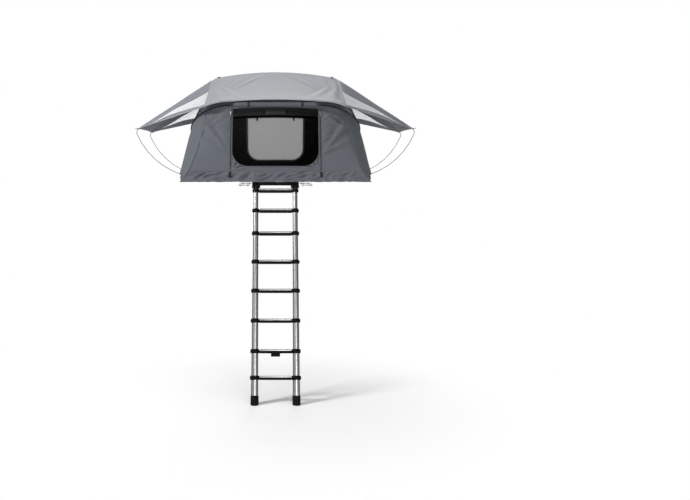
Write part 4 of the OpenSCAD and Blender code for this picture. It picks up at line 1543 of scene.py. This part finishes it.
@dataclass
class Bedding:
    """Two mattress halves, each a sewn cover filled out by a short cloth simulation."""

    palette: Palette
    half_width: float = 0.795
    end_gap: float = 0.040
    floor_z: float = 0.0803
    thickness: float = 0.050
    channels: int = 4
    frames: int = 24

    def build(self) -> None:
        """Make both halves."""
        for half, name in ((Half.NEAR, "folding_mattress"), (Half.FAR, "fixed_mattress")):
            made = self.cover(half, name)
            self.fill(made)
            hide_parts(name)
            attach(made, half.body)

    def cover(self, half: Half, name: str) -> bpy.types.Object:
        """Make the flat cover with its sewn channels pinned.

        Args:
            half: Half of the tent.
            name: The node that it stands for.

        Returns:
            The cover.
        """
        y0, y1 = SHAPE.near_y + self.end_gap, SHAPE.hinge_y - self.end_gap
        nx, ny = 60, 48
        bm = bmesh.new()

        def layer(z: float, inset: float) -> list[list[bmesh.types.BMVert]]:
            """A level grid of vertices, inset from the cover's outline."""
            return [[bm.verts.new((mix(-self.half_width + inset, self.half_width - inset, u),
                                   mix(y0 + inset, y1 - inset, v), z))
                     for u in spread(0, 1, nx)] for v in spread(0, 1, ny)]

        top = layer(self.floor_z + self.thickness, 0.012)
        low = layer(self.floor_z, 0.002)
        for a, flip in ((top, False), (low, True)):
            for j in range(ny):
                for i in range(nx):
                    face = (a[j][i], a[j][i + 1], a[j + 1][i + 1], a[j + 1][i])
                    bm.faces.new(face[::-1] if flip else face)
        rim = [(0, i) for i in range(nx)] + [(j, nx) for j in range(ny)]
        rim += [(ny, nx - i) for i in range(nx)] + [(ny - j, 0) for j in range(ny)]
        for (ja, ia), (jb, ib) in zip(rim, rim[1:] + rim[:1]):
            bm.faces.new((low[ja][ia], low[jb][ib], top[jb][ib], top[ja][ia]))
        bmesh.ops.recalc_face_normals(bm, faces=bm.faces)
        sewn = {top[j][i] for j in range(0, ny + 1, ny // self.channels) for i in range(nx + 1)}
        bm.verts.index_update()
        held = [v.index for row in low for v in row] + [v.index for v in sewn]
        bm.transform(mirrored(half))
        if half is Half.FAR:
            bmesh.ops.reverse_faces(bm, faces=bm.faces)
        made = new_object(f"{name}_cover", bm, [self.palette.get("mattress_cover")])
        group = made.vertex_groups.new(name="sewn")
        group.add(held, 1.0, "REPLACE")
        return made

    def fill(self, made: bpy.types.Object) -> None:
        """Let pressure fill the cover out between its seams.

        Args:
            made: The cover.
        """
        cloth = made.modifiers.new("fill", "CLOTH")
        cloth.settings.vertex_group_mass = "sewn"
        cloth.settings.use_pressure = True
        cloth.settings.uniform_pressure_force = 6.0
        cloth.settings.quality = 5
        cloth.settings.tension_stiffness = 40
        cloth.settings.compression_stiffness = 40
        cloth.settings.bending_stiffness = 2.0
        cloth.settings.effector_weights.gravity = 0.1
        cloth.point_cache.frame_start = 1
        cloth.point_cache.frame_end = self.frames
        scene = bpy.context.scene
        for number in range(1, self.frames + 1):
            scene.frame_set(number)
        bake(made)
        top = SHAPE.seam_z + 0.002
        for vert in made.data.vertices:
            vert.co.z = min(max(vert.co.z, self.floor_z), top)
        scene.frame_set(1)


# Ladder and hardware


@dataclass
class Ladder:
    """Collars, treads and undersides of the rungs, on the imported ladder's own sections."""

    palette: Palette
    pivot: Vector = field(default_factory=lambda: Vector((0, -1.820, -0.014)))
    lean: float = math.radians(16.3)
    first: float = 0.043
    gaps: tuple[float, ...] = (0.202, 0.226, 0.277, 0.277, 0.280, 0.280, 0.240)
    width: float = 0.384
    top_r: float = 0.023
    step_r: float = 0.0015
    collar_h: float = 0.039
    proud: float = 0.012
    depth: float = 0.050
    height: float = 0.038
    tab_half: float = 0.0435
    tab_deep: float = 0.0112
    ribs: int = 7

    def place(self, k: int) -> Matrix:
        """Placement of a rung's middle, with k from 1 at the top and Z up along the ladder."""
        down = self.first + sum(self.gaps[:k - 1])
        return self.hung() @ Matrix.Translation((0, 0, -down))

    def hung(self) -> Matrix:
        """Placement of the ladder at its pivot, with Z up along the ladder."""
        return Matrix.Translation(self.pivot) @ Matrix.Rotation(-self.lean, 4, "X")

    def build(self) -> None:
        """Make all eight rungs and the black knuckles at the top."""
        for k in range(1, len(self.gaps) + 2):
            self.collars(k)
            self.rung(k)
        self.knuckles()
        self.bracket_backs()

    def bracket_backs(self) -> None:
        """Make the black plates that close the backs of the top brackets."""
        bm = bmesh.new()
        for side in Side:
            middle = self.pivot + Vector((side.value * self.width / 2, 0, 0))
            low, high = Vector((-0.0262, 0.029, -0.018)), Vector((0.0262, 0.033, 0.0345))
            add_box(bm, middle + low, middle + high, 0.0005)
        nylon = self.palette.get("black_nylon")
        hard_piece("ladder_bracket_backs", bm, nylon, "black_plastic", "folding_base")

    def knuckles(self) -> None:
        """Make the black caps over the ends that turn in the top brackets."""
        bm = bmesh.new()
        half = Vector((0.025, 0.0195, 0.0195))
        for side in Side:
            middle = Vector((side.value * self.width / 2, 0, 0))
            below = Vector((half.x, half.y, self.first - self.collar_h / 2))
            add_box(bm, middle - below, middle + half, 0.006)
        bm.transform(self.hung())
        hard_piece("ladder_knuckles", bm, self.palette.get("black_nylon"), "black_plastic", "ladder_1")

    def collars(self, k: int) -> None:
        """Make the two moulded collars of a section.

        Args:
            k: Section number.
        """
        tube = self.top_r + self.step_r * (k - 1)
        bore = tube - self.step_r + 0.0001 if k > 1 else tube - 0.004
        lip = 0.002
        half = self.collar_h / 2
        swell = [(tube + lip + (self.proud - lip) * (1 - abs(q) ** 3) ** 0.6, q * half)
                 for q in spread(-1, 1, 16)]
        ring = [(bore, -half)] + swell + [(bore, half)]
        bm = bmesh.new()
        for side in Side:
            part = bmesh.new()
            add_ring(part, ring)
            part.transform(Matrix.Translation((side.value * self.width / 2, 0, 0)))
            merge(bm, part)
        bmesh.ops.recalc_face_normals(bm, faces=bm.faces)
        bm.transform(self.place(k))
        nylon = self.palette.get("black_nylon")
        hard_piece(f"ladder_collars_{k}", bm, nylon, "black_plastic", f"ladder_{k}", f"ladder_rung_{k}")

    def rung(self, k: int) -> None:
        """Make a rung's ribbed silver tread and its black underside.

        Args:
            k: Section number.
        """
        tube = self.top_r + self.step_r * (k - 1)
        end = self.width / 2 - tube - 0.7 * self.proud
        half_d, half_h = self.depth / 2, self.height / 2
        rib, rib_half, rib_inset, bevel = 0.0022, 0.0016, 0.007, 0.004
        tread = bmesh.new()
        add_box(tread, Vector((-end, -half_d, 0.001)), Vector((end, half_d, half_h - rib)), bevel)
        for y in spread(-half_d + rib_inset, half_d - rib_inset, self.ribs - 1):
            low = Vector((-end, y - rib_half, half_h - 2 * rib))
            add_box(tread, low, Vector((end, y + rib_half, half_h)), rib_half / 2)
        tread.transform(self.place(k))
        silver, nylon = self.palette.pick("rung_aluminium", "black_nylon")
        hard_piece(f"ladder_tread_{k}", tread, silver, "anodised_aluminium", f"ladder_{k}")
        under = bmesh.new()
        low, high = Vector((-end, -half_d + 0.002, -half_h)), Vector((end, half_d - 0.002, 0.001))
        if k == len(self.gaps):
            for side in Side:
                xs = sorted((side.value * self.tab_half, side.value * end))
                add_box(under, Vector((xs[0], low.y, low.z)), Vector((xs[1], high.y, high.z)), bevel)
                ys = sorted((side.value * self.tab_deep, side.value * high.y))
                lap = self.tab_half + bevel
                add_box(under, Vector((-lap, ys[0], low.z)), Vector((lap, ys[1], high.z)), bevel)
        else:
            add_box(under, low, high, bevel)
        under.transform(self.place(k))
        hard_piece(f"ladder_underside_{k}", under, nylon, "black_plastic", f"ladder_{k}")


@dataclass
class Hardware:
    """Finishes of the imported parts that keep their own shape."""

    palette: Palette

    FINISHES = {
        "anodised_aluminium": "anodised_aluminium",
        "sandwich_board": "sandwich_board",
        "black_steel": "black_steel",
        "zinc_steel": "zinc_steel",
        "bow_aluminium": "shaded_bow",
        "spring_steel": "spring_steel",
        "black_plastic": "black_nylon",
        "black_rubber": "black_rubber",
        "nickel": "nickel",
        "zip_tape": "black_tape",
    }

    def dress(self) -> None:
        """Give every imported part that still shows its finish."""
        for part in frame["record"]["subparts"]:
            finish = self.FINISHES.get(part["material_slot"])
            shown = frame["nodes"][part["node"]]
            if finish is None or shown.hide_render:
                continue
            for slot in shown.material_slots:
                slot.link = "OBJECT"
                slot.material = self.palette.get(finish)


# Studio


@dataclass
class Studio:
    """Camera, floor, lights and background."""

    camera_at: tuple[float, float, float] = (0.0, -9.95, 0.237)
    lens_mm: float = 43.04
    shift: tuple[float, float] = (0.1007, -0.129)
    ground_z: float = -1.9931
    sky_front: float = 0.34
    sky_back: float = 0.08
    floor_radius: float = 30.0
    feet_at: tuple[float, float, float] = (0.0, -2.4, -1.99)
    fade_from: float = 0.3
    fade_to: float = 2.2
    lit_at: tuple[float, float, float] = (0.0, -1.0, 0.3)

    # Name, place, edge length and power of each lamp
    LAMPS = (
        ("key", (-7.0, -5.0, 4.8), 2.0, 700),
        ("fill", (1.0, -9.5, -0.2), 3.0, 200),
        ("top", (0.0, -2.0, 6.5), 6.0, 200),
        ("back", (0.5, 7.5, 4.0), 4.0, 420),
    )

    def build(self) -> None:
        """Set up everything that isn't part of the tent."""
        scene = bpy.context.scene
        scene.view_settings.view_transform = "Standard"
        data = bpy.data.cameras.new("camera")
        data.lens = self.lens_mm
        data.sensor_width = 36
        data.shift_x, data.shift_y = self.shift
        data.clip_end = 200
        camera = bpy.data.objects.new("camera", data)
        camera.location = self.camera_at
        camera.rotation_euler = (math.pi / 2, 0, 0)
        scene.collection.objects.link(camera)
        scene.camera = camera
        self.floor()
        for lamp in self.LAMPS:
            self.light(*lamp)
        self.background()

    def floor(self) -> None:
        """Lay a pale floor under the ladder's feet that fades to white further out."""
        bm = bmesh.new()
        bmesh.ops.create_circle(bm, cap_ends=True, segments=96, radius=self.floor_radius)
        bm.transform(Matrix.Translation((0, 0, self.ground_z - 0.001)))
        made, tree, output = new_material("studio_floor")
        place = add_node(tree, "ShaderNodeTexCoord").outputs["Object"]
        away = add_node(tree, "ShaderNodeVectorMath", {0: place}, operation="DISTANCE")
        away.inputs[1].default_value = self.feet_at
        fade = add_node(tree, "ShaderNodeMapRange", {"Value": away.outputs["Value"]},
                        interpolation_type="SMOOTHSTEP", From_Min=self.fade_from,
                        From_Max=self.fade_to).outputs["Result"]
        paint = add_node(tree, "ShaderNodeBsdfDiffuse", Color=linear("f4f4f4")).outputs["BSDF"]
        white = add_node(tree, "ShaderNodeEmission", Color=linear("ffffff"), Strength=1.0).outputs["Emission"]
        surface = add_node(tree, "ShaderNodeMixShader", {0: fade, 1: paint, 2: white}).outputs["Shader"]
        tree.links.new(surface, output.inputs["Surface"])
        new_object("floor", bm, [made])

    def light(self, name: str, at: tuple[float, float, float], size: float, watts: float) -> None:
        """Add a soft square light aimed at the tent.

        Args:
            name: The light's name.
            at: Its place.
            size: Its edge length.
            watts: Its power.
        """
        data = bpy.data.lights.new(name, "AREA")
        data.size = size
        data.energy = watts
        made = bpy.data.objects.new(name, data)
        made.location = at
        aim = Vector(self.lit_at) - Vector(at)
        made.rotation_euler = aim.to_track_quat("-Z", "Y").to_euler()
        bpy.context.scene.collection.objects.link(made)

    def background(self) -> None:
        """White behind the tent, and a sky for the light that is bright in front and dim behind."""
        world = bpy.data.worlds.new("studio")
        world.use_nodes = True
        tree = world.node_tree
        tree.nodes.clear()
        output = add_node(tree, "ShaderNodeOutputWorld")
        rays = add_node(tree, "ShaderNodeLightPath")
        straight = {0: rays.outputs["Is Camera Ray"], 1: rays.outputs["Is Transmission Ray"]}
        seen = add_node(tree, "ShaderNodeMath", straight, operation="MAXIMUM").outputs[0]
        toward = add_node(tree, "ShaderNodeTexCoord").outputs["Generated"]
        depth = add_node(tree, "ShaderNodeSeparateXYZ", {"Vector": toward}).outputs["Y"]
        level = add_node(tree, "ShaderNodeMapRange", {"Value": depth}, From_Min=-1.0, From_Max=0.8,
                         To_Min=self.sky_front, To_Max=self.sky_back).outputs["Result"]
        sky = add_node(tree, "ShaderNodeBackground", {"Strength": level}, Color=linear("f0f1f3")).outputs[0]
        white = add_node(tree, "ShaderNodeBackground", Color=linear("ffffff"), Strength=1.0).outputs[0]
        blend = add_node(tree, "ShaderNodeMixShader", {0: seen, 1: sky, 2: white}).outputs[0]
        tree.links.new(blend, output.inputs["Surface"])
        bpy.context.scene.world = world


def corners(box: tuple) -> list[list[float]]:
    """A box's lowest and highest corner as plain lists."""
    return [[float(v) for v in corner] for corner in box]


def main() -> None:
    """Build the tent's looks in order."""
    logging.basicConfig(level=logging.INFO)
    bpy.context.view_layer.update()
    Studio().build()
    palette = Palette()
    for kind in (Canopy, RainFly, AwningRods, DoorFittings, Bedding, Ladder):
        LOG.info("building %s", kind.__name__)
        kind(palette).build()
    Hardware(palette).dress()


if __name__ == "__main__":
    main()
